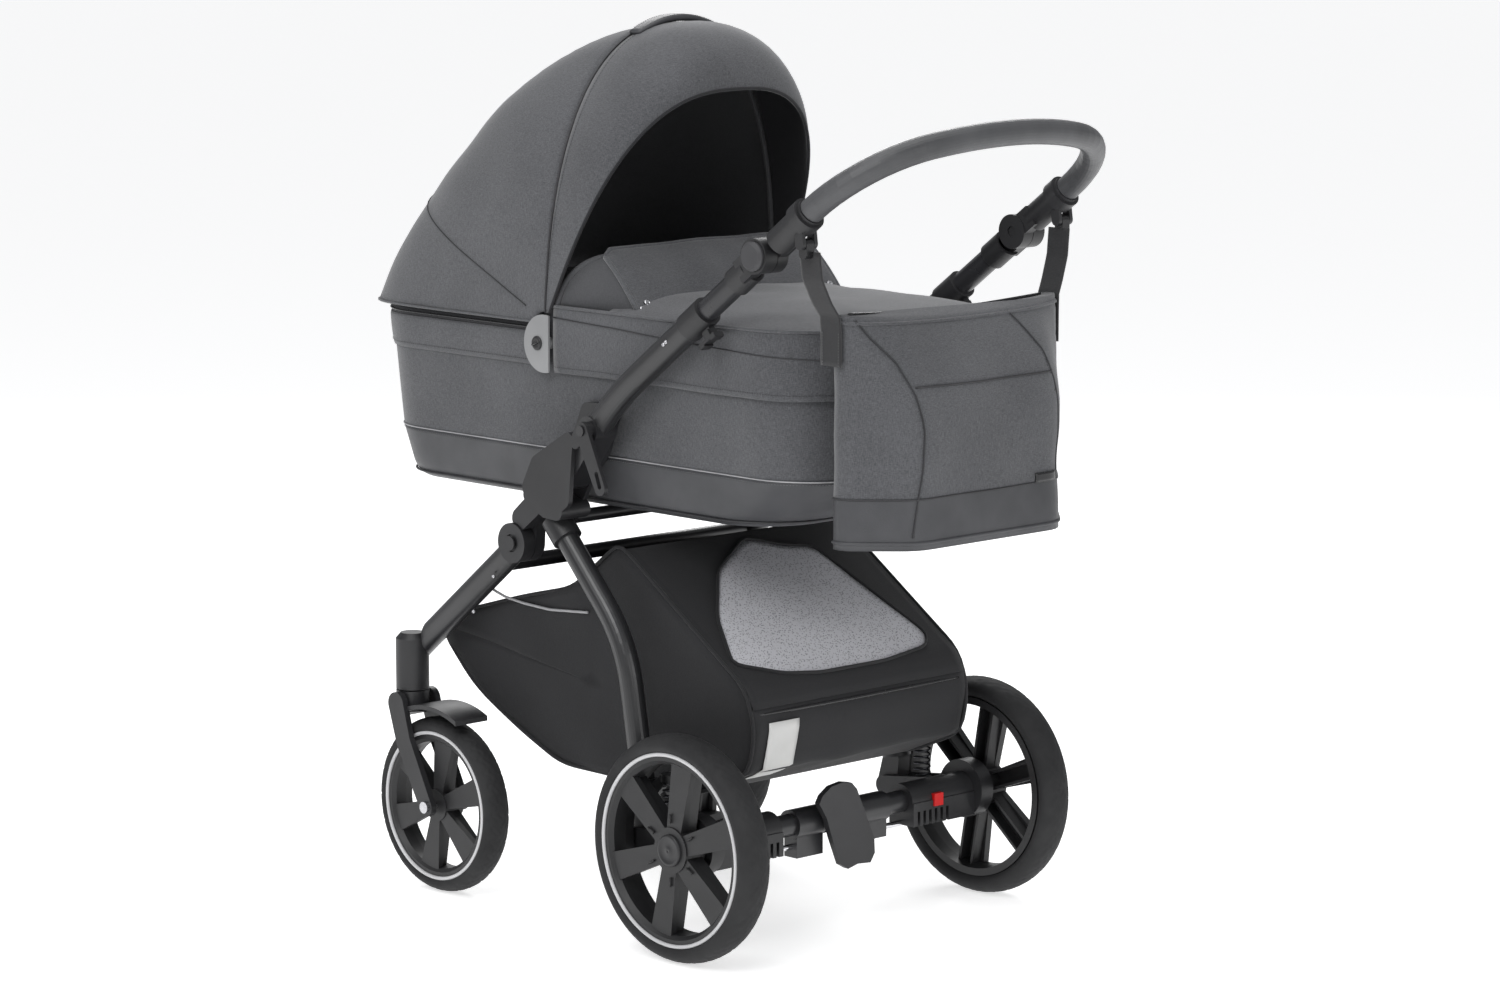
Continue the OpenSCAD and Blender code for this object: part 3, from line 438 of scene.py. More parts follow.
def stitches(name, path, body, slot, look=None, pitch=4.2, length=2.9, radius=0.42, closed=False):
    """A row of separate stitches, each a short bent thread that dives into the cloth at both ends."""
    points = resample(path, pitch / 2, closed)
    sides, rings = 4, 3
    verts, faces = [], []
    frames = frames_along(points, closed)
    for p, t, a, b in frames[::2]:
        start = len(verts)
        for s, r in ((-0.5, 0.4), (0.0, 1.0), (0.5, 0.4)):
            for j in range(sides):
                w = 2 * pi * (j + 0.5) / sides
                verts.append(p + t * (s * length) + (a * cos(w) + b * sin(w)) * radius * r)
        faces += grid((rings, sides), start=start)
        faces += [tuple(start + j for j in range(sides)),
                  tuple(start + (rings - 1) * sides + j for j in range(sides))]
    return piece(name, verts, faces, body, slot, look or THREAD)


def skin_tree(obj):
    """A lookup tree of a piece's surface in millimetres from the rear axle."""
    graph = bpy.context.evaluated_depsgraph_get()
    mesh = obj.evaluated_get(graph).to_mesh()
    verts = [(v.co.x / MM, (v.co.y - AXLE_Y) / MM, v.co.z / MM) for v in mesh.vertices]
    return BVHTree.FromPolygons(verts, [tuple(p.vertices) for p in mesh.polygons])


def swell(obj, voxel=6.0, pressure=4.0, cap=8.0, frames=20):
    """Puffs a closed piece as sewn cloth under pressure, moving no point more than cap millimetres."""
    remesh = obj.modifiers.new("remesh", "REMESH")
    remesh.mode = "VOXEL"
    remesh.voxel_size = voxel * MM
    settle(obj)
    start = np.empty(len(obj.data.vertices) * 3)
    obj.data.vertices.foreach_get("co", start)
    cloth = obj.modifiers.new("cloth", "CLOTH")
    cloth.settings.use_pressure = True
    cloth.settings.uniform_pressure_force = pressure
    cloth.settings.effector_weights.gravity = 0
    cloth.point_cache.frame_start = 1
    cloth.point_cache.frame_end = frames
    for f in range(1, frames + 1):
        SCENE.frame_set(f)
    settle(obj)
    SCENE.frame_set(1)
    end = np.empty_like(start)
    obj.data.vertices.foreach_get("co", end)
    move = (end - start).reshape(-1, 3)
    length = np.linalg.norm(move, axis=1, keepdims=True)
    move *= np.minimum(1.0, cap * MM / np.maximum(length, 1e-9))
    obj.data.vertices.foreach_set("co", (start.reshape(-1, 3) + move).ravel())
    obj.data.shade_smooth()
    return obj


def ripple(p, size, depth, seed=0.0):
    """Smooth cloth unevenness at a point, in millimetres."""
    return depth * noise.noise(Vector(p) / size + Vector((seed, seed, seed)))

# ---------------------------------------------------------------- carrycot
cot_low, cot_high = node_mm("carrycot_shell")
RIM_Z, BASE_Z = cot_high[2], cot_low[2]
COT_HALF = cot_high[0] + 4
COT_HEAD, COT_FOOT = cot_low[1], cot_high[1] + 3
BAND_Z = BASE_Z + 72
COT_WALL = 9
SECTIONS = [
    (BASE_Z, COT_HALF - 28, COT_HEAD + 34, COT_FOOT - 110, 95),
    (BAND_Z, COT_HALF - 16, COT_HEAD + 14, COT_FOOT - 14, 100),
    (RIM_Z, COT_HALF - 4, COT_HEAD, COT_FOOT - 3, 110),
]


def outline(half, y0, y1, r, side=44, end=18, corner=14):
    """A rounded rectangle as points (x, y), from the middle of the +x side round past the foot."""
    pts = []
    for sx, ys in ((1, (y0 + r, y1 - r)), (-1, (y1 - r, y0 + r))):
        pts += [(sx * half, ys[0] + (ys[1] - ys[0]) * i / side) for i in range(side)]
        cy = ys[1]
        for i in range(corner):
            w = pi / 2 * i / corner
            pts.append((sx * (half - r + r * cos(w)), cy + sx * r * sin(w)))
        ye = y1 if sx > 0 else y0
        pts += [(sx * (half - r) * (1 - 2 * i / end), ye) for i in range(end)]
        for i in range(corner):
            w = pi / 2 * (1 - i / corner)
            pts.append((-sx * (half - r + r * cos(w)), cy + sx * r * sin(w)))
    return pts


def section(z):
    """The carrycot's half width, head, foot and corner radius at a height."""
    zs = [s[0] for s in SECTIONS]
    return [float(np.interp(z, zs, [s[k] for s in SECTIONS])) for k in range(1, 5)]


def cot_ring(z, grow=0.0, wave=0.0):
    half, y0, y1, r = section(z)
    ring = []
    for x, y in outline(half + grow, y0 - grow, y1 + grow, r + grow):
        d = Vector((x, y - (y0 + y1) / 2)).normalized()
        bulge = ripple((x, y, z * 0.6), 70, wave) if wave else 0.0
        ring.append((x + d.x * bulge, y + d.y * bulge, z))
    return ring


wall_rings = []
for i in range(25):
    z = BAND_Z - 3 + (RIM_Z - BAND_Z + 1) * i / 24
    fullness = 2.0 * sin(pi * i / 24)
    wall_rings.append(cot_ring(z, 0.6 + fullness, 1.6))
inner_rings = [cot_ring(RIM_Z - 2, -2), cot_ring(RIM_Z - 4, -COT_WALL)]
inner_rings += [cot_ring(RIM_Z - 4 - 24 * i, -COT_WALL, 1.2) for i in range(1, 10)]
inner_rings.append(cot_ring(BASE_Z + COT_WALL + 2, -COT_WALL - 4))
cot_cloth = loft("cot_cloth", wall_rings, *COT_ON, CLOTH, caps=(False, False))
loft("cot_lining", [wall_rings[-1]] + inner_rings, *COT_ON, CLOTH_INNER,
     caps=(False, True))
band_rings = [cot_ring(BASE_Z, -16), cot_ring(BASE_Z + 1.5, -9), cot_ring(BASE_Z + 5, -3.5),
              cot_ring(BASE_Z + 12, 0)]
band_rings += [cot_ring(BASE_Z + 12 + (BAND_Z - BASE_Z - 12) * i / 8, 1.2, 1.2) for i in range(1, 9)]
band_rings.append(cot_ring(BAND_Z + 0.5, -0.5))
loft("cot_band", band_rings, *COT_ON, SKIN, caps=(True, False))
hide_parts("carrycot_shell")
band_edge = cot_ring(BAND_Z - 0.5, 1.6, 1.2)
tube("cot_band_edge", band_edge, 0.9, *COT_ON, REFLECT, sides=6, closed=True)
stitches("cot_band_stitches", cot_ring(BAND_Z - 5, 2.0, 1.2), *COT_ON, closed=True)
tube("cot_base_piping", cot_ring(BASE_Z + 9, 1.2), 1.7, *COT_ON, PIPING,
     sides=7, closed=True)
tube("cot_rim_roll", cot_ring(RIM_Z - 1, -3), 4.2, *COT_ON, CLOTH_INNER,
     sides=10, closed=True)

# Mattress: a quilted cotton pad, puffed by simulation
mat_low, mat_high = node_mm("mattress")
pad_rings = []
for z, inset in ((0, 10), (4, 3), (14, 0), (30, 0), (38, 3), (41, 9)):
    half = mat_high[0] - 3 - inset
    pad_rings.append([(x, y, mat_low[2] + 2 + z) for x, y in
                      outline(half, mat_low[1] + 4 + inset, mat_high[1] - 4 - inset, 84)])
mattress = loft("mattress_pad", pad_rings, "carrycot", "mattress_cotton", COTTON)
swell(mattress, voxel=8, pressure=3, cap=5)
for vertex in mattress.data.vertices:
    if vertex.co.z > mat_high[2] * MM - 0.012:
        quilt = sin(vertex.co.x / 0.022) * sin(vertex.co.y / 0.022)
        vertex.co.z += 0.0011 * quilt
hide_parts("mattress")
tube("mattress_piping", [(x, y, mat_high[2] - 7) for x, y in
                         outline(mat_high[0] - 1, mat_low[1] + 2, mat_high[1] - 2, 85)],
     1.8, "carrycot", "mattress_cotton", COTTON, sides=6, closed=True)

# ---------------------------------------------------------------- hood
HOOD_C = (COT_HEAD + 400, RIM_Z - 18)
HOOD_PIN = (HOOD_C[0], RIM_Z - 46)
HOOD_HALF = COT_HALF + 6
HOOD_R = 388
HOOD_FRONT = HOOD_C[0] - COT_HEAD + 8
VISOR_LIP, VISOR_MID = 64, 87
HOOD_T = 4.5
HOOD_FOOT_S = 26


def quad(u, a, b, c):
    return (1 - u) ** 2 * a + 2 * u * (1 - u) * b + u * u * c


def visor_bow(u):
    return quad(u, VISOR_LIP, VISOR_LIP + 6, VISOR_MID), quad(u, HOOD_R - 43, HOOD_R + 37, HOOD_R + 3), \
        2.7 - 0.3 * u


def back_bow(u):
    sag = (44 + 50 * u) * sin(pi * u)
    return VISOR_MID + 0.4 + (179.6 - VISOR_MID) * u, HOOD_R + 3 + (HOOD_FRONT - HOOD_R - 3) * u - sag, \
        2.4 + 4.6 * u


def bow_point(bow, share, off=0.0, wave=0.0):
    """A point of a squared-off arch; share runs from 0 at its +x foot to 1 at its -x foot."""
    angle, radius, power = bow
    r, w = radius - off, HOOD_HALF - off
    start = asin(HOOD_FOOT_S / r)
    phi = start + (pi - 2 * start) * share
    reach = (abs(cos(phi) / w) ** power + abs(sin(phi) / r) ** power) ** (-1 / power)
    x, s = reach * cos(phi), reach * sin(phi)
    a = radians(angle)
    p = Vector((x, HOOD_C[0] + s * cos(a), HOOD_C[1] + s * sin(a)))
    if wave:
        p += Vector((x / w, cos(a), sin(a))) * ripple(p, 90, wave) * sin(pi * share)
    return p


def hood_skin(name, bow, steps, body, inner_look, wave):
    columns = 72
    grids = [[[bow_point(bow(i / steps), k / columns, off, wave) for k in range(columns + 1)]
              for i in range(steps + 1)] for off in (0, HOOD_T)]
    verts, faces, count = sheet_shell(*grids)
    looks = [0] * count + [1] * count + [0] * (len(faces) - 2 * count)
    return piece(name, verts, faces, body, "hood_melange", [CLOTH, inner_look], face_looks=looks)


visor = hood_skin("hood_visor_cloth", visor_bow, 18, "hood", LINING, 1.2)
hood_back = hood_skin("hood_back_cloth", back_bow, 40, None, CLOTH_INNER, 3.0)
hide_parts("hood_visor")
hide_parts("hood_back")


def bow_line(bow, u, lift=0.6, start=0.0, end=1.0, count=90):
    return [bow_point(bow(u), start + (end - start) * i / count, -lift) for i in range(count + 1)]


tube("hood_bow_piping", bow_line(visor_bow, 1.0, 0.8), 1.6, *HOOD_ON, PIPING, sides=7)
tube("hood_lip_piping", bow_line(visor_bow, 0.0, -2.0), 2.4, *HOOD_ON, LINING, sides=8)
stitches("hood_bow_stitches", bow_line(visor_bow, 0.93, 0.7), *HOOD_ON, PIPING)
tube("hood_inner_seam", bow_line(visor_bow, 1.0, -HOOD_T - 2.5), 3.4, *HOOD_ON,
     CLOTH_INNER, sides=8)
tube("hood_hem_piping", bow_line(back_bow, 1.0, 0.4), 1.7, "carrycot", "hood_melange", CLOTH, sides=7)
for sign, tag in SIDES:
    seam = []
    for i in range(41):
        t = i / 40
        share = 0.44 - 0.40 * t ** 1.3
        u = 0.66 + 0.20 * t - 0.16 * t * t
        p = bow_point(back_bow(u), share, -0.5, 3.0)
        seam.append((sign * p.x, p.y, p.z))
    line = tube("hood_dart_" + tag, seam, 0.9, None, "hood_melange", PIPING, sides=5)
    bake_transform(line)
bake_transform(hood_back)

# Zip and skirt below the hood's back, round the head end
def head_path(grow, z, y_end=None):
    """The stretch of the rim's outline from the +x side round the head to the -x side."""
    y_end = HOOD_C[0] - 8 if y_end is None else y_end
    ring = cot_ring(z, grow)
    side = [p for p in ring if p[1] < y_end]
    left = sorted([p for p in side if p[0] > 0], key=lambda p: -atan2(p[1] - HOOD_C[0], p[0]))
    return [(left[0][0], y_end, z)] + left + [(-p[0], p[1], p[2]) for p in reversed(left)] \
        + [(-left[0][0], y_end, z)]


def wrap_skirt(name, path_at, levels, body, slot, look, thick=2.4):
    """A thin skirt; levels are (height, growth) pairs from its top to its hem."""
    outer = [[Vector(p) for p in path_at(grow, z)] for z, grow in levels]
    inner = [[Vector(p) for p in path_at(grow - thick, z)] for z, grow in levels]
    verts, faces, _ = sheet_shell(outer, inner)
    return piece(name, verts, faces, body, slot, look)


ZIP_Z = HOOD_C[1] - 9
SKIRT_Z = RIM_Z - 78
wrap_skirt("hood_zip_tape", head_path, [(HOOD_C[1] - 1, 4.6), (ZIP_Z, 4.2), (ZIP_Z - 7, 4.8)],
           "carrycot", "webbing", LINING, 1.5)
tube("hood_zip_teeth", head_path(5.2, ZIP_Z), 1.3, "carrycot", "buckle_black", BLACK_GLOSS, sides=6)
wrap_skirt("head_skirt", head_path, [(ZIP_Z - 5, 5.4), (ZIP_Z - 9, 6.6), (ZIP_Z - 24, 6.8),
                                     (SKIRT_Z + 16, 6.4), (SKIRT_Z + 4, 5.6), (SKIRT_Z, 4.4)],
           *COT_ON, CLOTH, 2.2)
stitches("head_skirt_stitches", head_path(6.6, SKIRT_Z + 7), *COT_ON, PIPING)

# Hood pivots: a slotted knob on each grey plate
plate_x = node_mm("hood_plates")[1][0]
for sign, tag in SIDES:
    rings = []
    for x, r in ((0, 9.5), (1.6, 9.5), (2.6, 8.6), (2.9, 6.5), (2.2, 4.0), (2.2, 0.3)):
        rings.append([(sign * (plate_x + x), HOOD_PIN[0] - 12 + r * cos(w), HOOD_PIN[1] + r * sin(w))
                      for w in np.linspace(0, 2 * pi, 28, endpoint=False)])
    loft("hood_knob_" + tag, rings, "carrycot", "plastic_black", BLACK)
    slot_path = [(sign * (plate_x + 3.0), HOOD_PIN[0] - 12 + t, HOOD_PIN[1] + 0.4 * t) for t in (-7, 0, 7)]
    tube("hood_knob_bar_" + tag, slot_path, 1.6, "carrycot", "plastic_black", BLACK_GLOSS, sides=8)

# Carry handle: a padded strap, stitched along both edges
HANDLE_TOP = node_mm("carry_handle")[1][2] - 3
handle_y = HOOD_C[0] + (HOOD_R + 3) * cos(radians(VISOR_MID)) + 10


def handle_at(x):
    return Vector((x, handle_y, HANDLE_TOP - (x / 78) ** 2 * 19))


strap_verts = []
STRAP_STEPS, STRAP_SIDES = 30, 20
for i in range(STRAP_STEPS + 1):
    x = -76 + 152 * i / STRAP_STEPS
    fat = 3.4 + 1.6 * cos(pi * x / 152) ** 2
    wide = 12 - 1.5 * (abs(x) / 76) ** 6
    slope = atan2(-2 * x * 19 / 78 ** 2, 1)
    for j in range(STRAP_SIDES):
        w = 2 * pi * j / STRAP_SIDES
        up = fat * copysign(abs(sin(w)) ** 0.7, sin(w))
        out = wide * copysign(abs(cos(w)) ** 0.5, cos(w))
        strap_verts.append(handle_at(x) + Vector((-up * sin(slope), out, up * cos(slope))))
strap_faces = grid((STRAP_STEPS + 1, STRAP_SIDES)) + [tuple(range(STRAP_SIDES)),
               tuple(STRAP_STEPS * STRAP_SIDES + j for j in range(STRAP_SIDES))]
carry = piece("carry_strap", strap_verts, strap_faces, "hood", "strap_leatherette", SKIN)
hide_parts("carry_handle")
for offset, tag in ((-9.2, "rear"), (9.2, "front")):
    stitches("carry_stitches_" + tag, [handle_at(x) + Vector((0, offset, 4.4 - (x / 76) ** 2 * 1.2))
                                       for x in range(-70, 71, 5)], "hood", "strap_leatherette")

# ---------------------------------------------------------------- apron
APRON_Y = -215
APRON_Z = RIM_Z + 4
APRON_FOOT = COT_FOOT
PLATE_Y = HOOD_PIN[0] + 11


def rim_half(y, grow=0.0):
    """Half width of the apron's outline at y, with its rounded foot corners."""
    r, half = 110 + grow, COT_HALF + grow
    over = y - (APRON_FOOT + grow - r)
    return half if over <= 0 else half - r + sqrt(max(r * r - over * over, 0))


def apron_height(x, y):
    w = max(rim_half(min(y, APRON_FOOT)), 1)
    t = (y - APRON_Y) / (APRON_FOOT - APRON_Y)
    crown = 22 * (1 - min(abs(x / w), 1) ** 4) * (1 - max(t, 0) ** 5)
    return APRON_Z + crown


ROWS, COLUMNS = 44, 48
top = []
for i in range(ROWS + 1):
    y = APRON_Y - 10 + (APRON_FOOT - APRON_Y + 10 - 0.4) * (1 - (1 - i / ROWS) ** 1.5)
    w = rim_half(y)
    row = []
    for j in range(COLUMNS + 1):
        x = w * sin(pi / 2 * (2 * j / COLUMNS - 1))
        row.append(Vector((x, y, apron_height(x, y) + ripple((x, y, 0), 75, 2.6))))
    top.append(row)
apron = skin("apron_top", top, (0, 0, 2.6), *COT_ON, CLOTH)
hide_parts("apron")


def foot_path(grow, z, y_start=PLATE_Y):
    """The rim's outline from the +x side round the foot to the -x side."""
    half, r = COT_HALF + grow, 110 + grow
    cy = APRON_FOOT + grow - r
    pts = [(half, y_start + (cy - y_start) * i / 34, z) for i in range(34)]
    pts += [(half - r + r * cos(w), cy + r * sin(w), z) for w in np.linspace(0, pi / 2, 15)]
    pts += [((half - r) * (1 - 2 * i / 18), cy + r, z) for i in range(1, 18)]
    pts += [(-(half - r) - r * cos(w), cy + r * sin(w), z) for w in np.linspace(pi / 2, 0, 15)]
    pts += [(-half, cy - (cy - y_start) * i / 34, z) for i in range(1, 35)]
    return [(x, y, zz + ripple((x, y, zz), 60, 0.9)) for x, y, zz in pts]


wrap_skirt("foot_skirt", foot_path,
           [(APRON_Z + 1, -1.5), (APRON_Z - 3, 0.6), (APRON_Z - 16, 1.4), (APRON_Z - 44, 1.8),
            (APRON_Z - 70, 1.2), (APRON_Z - 84, 0.6), (APRON_Z - 88, -0.6)],
           *COT_ON, CLOTH, 2.4)
tube("apron_piping", foot_path(0.6, APRON_Z + 0.6), 2.2, *COT_ON, CLOTH, sides=8)
stitches("foot_skirt_stitches", foot_path(1.9, APRON_Z - 80), *COT_ON, PIPING)
tube("foot_skirt_seam", [(x, y, z - 22 * (y - PLATE_Y) / (APRON_FOOT - PLATE_Y))
                         for x, y, z in foot_path(2.0, APRON_Z - 14)], 0.9, *COT_ON,
     PIPING, sides=5)

# Wind flap: a padded panel that leans back over the opening, with a gusset and snaps at each side
FLAP_HALF = 188


def flap_point(s, t, off=0.0):
    """s from -1 to 1 across the flap, t from 0 at its free hem to 1 at its top edge."""
    x = FLAP_HALF * s * (1 - 0.02 * t)
    y = -178 + 6 * s * s - 84 * t
    z_hem = RIM_Z + 10 - 12 * s ** 4 + 2.0 * sin(7 * s)
    z = z_hem + (RIM_Z + 84 - z_hem) * t
    belly = 11 * sin(pi * min(t, 1)) * (1 - 0.5 * s * s)
    n = Vector((0, 0.77, 0.63))
    p = Vector((x, y, z)) + n * (belly - off + ripple((x, 90 * t, 0), 60, 3.0))
    corner = max(0.0, t - 0.86) / 0.14 * max(0.0, abs(s) - 0.9) / 0.1
    return p - Vector((copysign(9, s), 0, 9)) * corner


def flap_grid(off):
    return [[flap_point(2 * j / 48 - 1, i / 16, off) for j in range(49)] for i in range(17)]


verts, faces, _ = sheet_shell(flap_grid(0), flap_grid(6))
flap = piece("wind_flap", verts, faces, *COT_ON, CLOTH)
subdivide(flap)
edge = [flap_point(-1, t / 10, 3) for t in range(0, 10)]
edge += [flap_point(-1 + s / 20, 1, 3) for s in range(41)]
edge += [flap_point(1, 1 - t / 10, 3) for t in range(1, 11)]
tube("wind_flap_binding", edge, 3.6, *COT_ON, CLOTH, sides=8)
stitches("wind_flap_stitches", [flap_point(-0.96 + 1.92 * i / 40, 0.07, -0.7) for i in range(41)],
         *COT_ON, PIPING)
for sign, tag in SIDES:
    flap_top, rear = flap_point(sign, 1, 3), Vector((sign * 203, PLATE_Y + 4, RIM_Z + 2))
    mid = (flap_top + rear) / 2 + Vector((sign * 6, -26, 22))
    rows = []
    for i in range(13):
        t = i / 12
        a = flap_point(sign * 0.99, 1 - t, 4)
        b = flap_top * (1 - t) ** 2 + mid * 2 * t * (1 - t) + rear * t * t
        puff = sign * 5 * sin(pi * t)
        rows.append([a.lerp(b, k / 10) + Vector((puff * sin(pi * k / 10), 0, 0))
                     for k in range(11)])
    skin("flap_gusset_" + tag, rows, (sign * 2.5, 0, 0), *COT_ON, CLOTH_INNER)
    roll = [flap_top * (1 - t) ** 2 + mid * 2 * t * (1 - t) + rear * t * t for t in np.linspace(0, 1, 16)]
    tube("gusset_roll_" + tag, roll, 4.5, *COT_ON, CLOTH_INNER, sides=10)
    for s, t, k in ((0.965, 0.10, 0), (0.90, 0.16, 1)):
        at = flap_point(sign * s, t, -1.5)
        snap = [[at + Vector((r * cos(w), h * 0.77 + r * sin(w) * -0.63, h * 0.63 + r * sin(w) * 0.77))
                 for w in np.linspace(0, 2 * pi, 20, endpoint=False)]
                for r, h in ((5.2, -1.0), (5.2, 0.6), (4.4, 1.5), (3.0, 1.7), (2.2, 1.2), (0.2, 1.1))]
        loft(f"flap_snap_{tag}_{k}", snap, "carrycot", "axle_steel", STEEL)
# ---------------------------------------------------------------- basket
LIFT = BASE_Z - 555
BASKET_SIDE = [(-570, 348), (-513, 292), (-480, 270), (-408, 234), (-326, 200), (-60, 198), (40, 240),
               (52, 300), (34, 352), (-196, 508), (-212, 512), (-300, 444), (-400, 420), (-560, 374)]
BASKET_HALF = node_mm("basket")[1][0]


def smooth_outline(points, cuts=6, reach=26):
    """A closed outline with its corners rounded, as points."""
    pts = [Vector(p) for p in points]
    out = []
    for i, p in enumerate(pts):
        a, b = pts[i - 1], pts[(i + 1) % len(pts)]
        back = min((p - a).length * 0.4, reach)
        on = min((b - p).length * 0.4, reach)
        start, end = p + (a - p).normalized() * back, p + (b - p).normalized() * on
        out += [start * (1 - t) ** 2 + p * (2 * t * (1 - t)) + end * t * t for t in np.linspace(0, 1, cuts)]
    return out


side_outline = resample([(0, y, z + LIFT) for y, z in smooth_outline(BASKET_SIDE)], 14, closed=True)
side_mid = Vector((0, -270, 320 + LIFT))
for sign, tag in SIDES:
    rows = []
    for k in range(13):
        t = k / 12
        ring = []
        for p in side_outline:
            q = side_mid.lerp(p, t)
            sag = 5.5 * ripple((q.y, q.z, sign * 90), 88, 1.0) - 3.0 * (1 - t ** 4)
            pull = 5.0 * t ** 3 * sin(q.y / 21.0) * (1 - t)
            ring.append(Vector((sign * (BASKET_HALF - 0.5 + sag + pull), q.y, q.z)))
        rows.append(ring + ring[:1])
    side = skin("basket_side_" + tag, rows, (sign * 2.0, 0, 0), *BASKET_ON, BASKET)
    if sign == 1:
        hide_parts("basket")
    rim = [Vector((sign * (BASKET_HALF - 1), p.y, p.z)) for p in side_outline]
    tube("basket_binding_" + tag, rim, 2.4, *BASKET_ON, BASKET, sides=7, closed=True)
    pipe = [(-480, 446), (-462, 437), (-436, 430), (-397, 426), (-345, 424), (-268, 430)]
    curve = resample([(sign * (BASKET_HALF + 1.0), y, z - 16 + LIFT) for y, z in pipe], 9)
    tube("basket_piping_" + tag, [p for p in curve if p.z < 452 + LIFT], 1.9, *BASKET_ON,
         REFLECT, sides=7)


def strip_across(name, profile, half, look, body="chassis", slot="basket_cloth", wave=2.0, thick=2.0):
    """A cloth strip that spans the basket's width along a side profile of (y, z) points."""
    line = resample([(0, y, z + LIFT) for y, z in profile], 12)
    n = max(len(line), 3)
    rows, under = [], []
    for i, p in enumerate(line):
        a, b = line[max(i - 1, 0)], line[min(i + 1, n - 1)]
        t = (b - a).normalized()
        normal = Vector((0, t.z, -t.y))
        row = []
        for j in range(33):
            x = half * (2 * j / 32 - 1)
            fade = sin(pi * i / (n - 1)) * (1 - (x / half) ** 4)
            row.append(Vector((x, p.y, p.z)) + normal * (ripple((x, p.y, p.z), 70, wave) * fade))
        rows.append(row)
        under.append([q - normal * thick for q in row])
    verts, faces, _ = sheet_shell(rows, under)
    return piece(name, verts, faces, body, slot, look)


strip_across("basket_front", [(-556, 368), (-568, 348), (-513, 292), (-480, 270), (-408, 234), (-326, 201)],
             BASKET_HALF - 3, BASKET)
strip_across("basket_floor", [(-326, 201), (-200, 200), (-60, 199)], BASKET_HALF - 3, BASKET)
POCKET = [(-60, 199), (36, 240), (50, 300), (45, 330)]
strip_across("basket_pocket", POCKET, BASKET_HALF - 3, BASKET, wave=5.0)
strip_across("basket_back_border", [(47, 326), (34, 352), (-196, 508), (-208, 505)],
             BASKET_HALF - 3, BASKET, wave=0.0, thick=2.4)


def net_point(x, t, off=0.0):
    """A point on the sloping back panel; t runs from its lower edge to its top."""
    n = Vector((0, 156, 230)).normalized()
    return Vector((x, 34 - 230 * t, 352 + 156 * t + LIFT)) + n * off


NET_EDGE = [(-6, 0.95), (-60, 0.86), (-108, 0.83), (-128, 0.60), (-168, 0.14), (-150, 0.06), (-60, 0.015),
            (60, 0.015), (120, 0.05), (188, 0.16), (150, 0.46), (84, 0.76)]
NET_LENGTH = 278
net_curve = smooth_outline([(x, t * NET_LENGTH) for x, t in NET_EDGE], 4, 14)
net_outline = resample([(p.x, p.y, 0) for p in net_curve], 10, closed=True)
net_mid = Vector((0, 0.42 * NET_LENGTH, 0))
verts, rings = [], 12
for k in range(1, rings + 1):
    for p in net_outline:
        q = net_mid.lerp(p, k / rings)
        proud = 1.6 + 2.4 * (1 - (k / rings) ** 2) + ripple(q, 60, 1.2)
        verts.append(net_point(q.x, q.y / NET_LENGTH, proud))
m = len(net_outline)
faces = grid((rings, m)) + [tuple(range(m))]
count = len(verts)
verts += [v - Vector((0, 0.56, 0.83)) * 1.0 for v in verts]
faces += [tuple(v + count for v in reversed(f)) for f in faces[:]]
faces += [((rings - 1) * m + j, (rings - 1) * m + (j + 1) % m, count + (rings - 1) * m + (j + 1) % m,
           count + (rings - 1) * m + j) for j in range(m)]
piece("basket_net", verts, faces, *BASKET_ON, NET)
tube("basket_net_binding", [net_point(p.x, p.y / NET_LENGTH, 2.2) for p in net_outline], 3.0, "chassis",
     "basket_cloth", BASKET, sides=8, closed=True, flat=0.6)
tube("basket_zip", [Vector((x, 49 - 4 * (x / 190) ** 2, 318 + LIFT)) for x in range(-186, 187, 12)], 2.2,
     *BASKET_ON, BLACK_GLOSS, sides=8)
label_rows = []
for i in range(9):
    z = 222 + 84 * i / 8
    y = float(np.interp(z, [199, 240, 300, 330], [-60, 36, 50, 45])) + 2.2
    label_rows.append([Vector((x, y + ripple((x, y, z), 30, 0.8), z + LIFT))
                       for x in np.linspace(118, 172, 9)])
skin("basket_label", label_rows, (0, 0.8, 0), *BASKET_ON, LABEL)

# ---------------------------------------------------------------- bag
bag_low, bag_high = node_mm("bag")
BAG_H = bag_high[2] - bag_low[2]
BAG_FRONT, BAG_BACK, BAG_HALF = bag_low[1], bag_high[1], bag_high[0]


def bag_ring(t, grow=0.0):
    """The bag's plan outline at a height share, as points from its front left corner."""
    half = BAG_HALF - 3 + grow - 2.0 * sin(pi * t)
    deep = BAG_BACK - BAG_FRONT - 4
    squeeze = 1 - 0.55 * max(0.0, t - 0.55) ** 1.4 / 0.45 ** 1.4
    cy = BAG_FRONT + 2 - grow
    back = cy + deep * squeeze + 2 * grow
    flank = half - 66
    corners = [(half, cy, 13), (half, cy + 26, 14), (flank, back, 22), (-flank, back, 22),
               (-half, cy + 26, 14), (-half, cy, 13)]
    pts = []
    for i, (x, y, r) in enumerate(corners):
        p, a, b = Vector((x, y)), Vector(corners[i - 1][:2]), Vector(corners[(i + 1) % 6][:2])
        s = p + (a - p).normalized() * min(r, (a - p).length * 0.45)
        e = p + (b - p).normalized() * min(r, (b - p).length * 0.45)
        pts += [s * (1 - u) ** 2 + p * (2 * u * (1 - u)) + e * u * u for u in np.linspace(0, 1, 7)]
    z = bag_low[2] + 1.5 + (BAG_H - 3) * t
    ring = resample([(p.x, p.y, z) for p in pts], 12.3, closed=True)
    return ring[:84] if len(ring) > 84 else ring + ring[-1:] * (84 - len(ring))


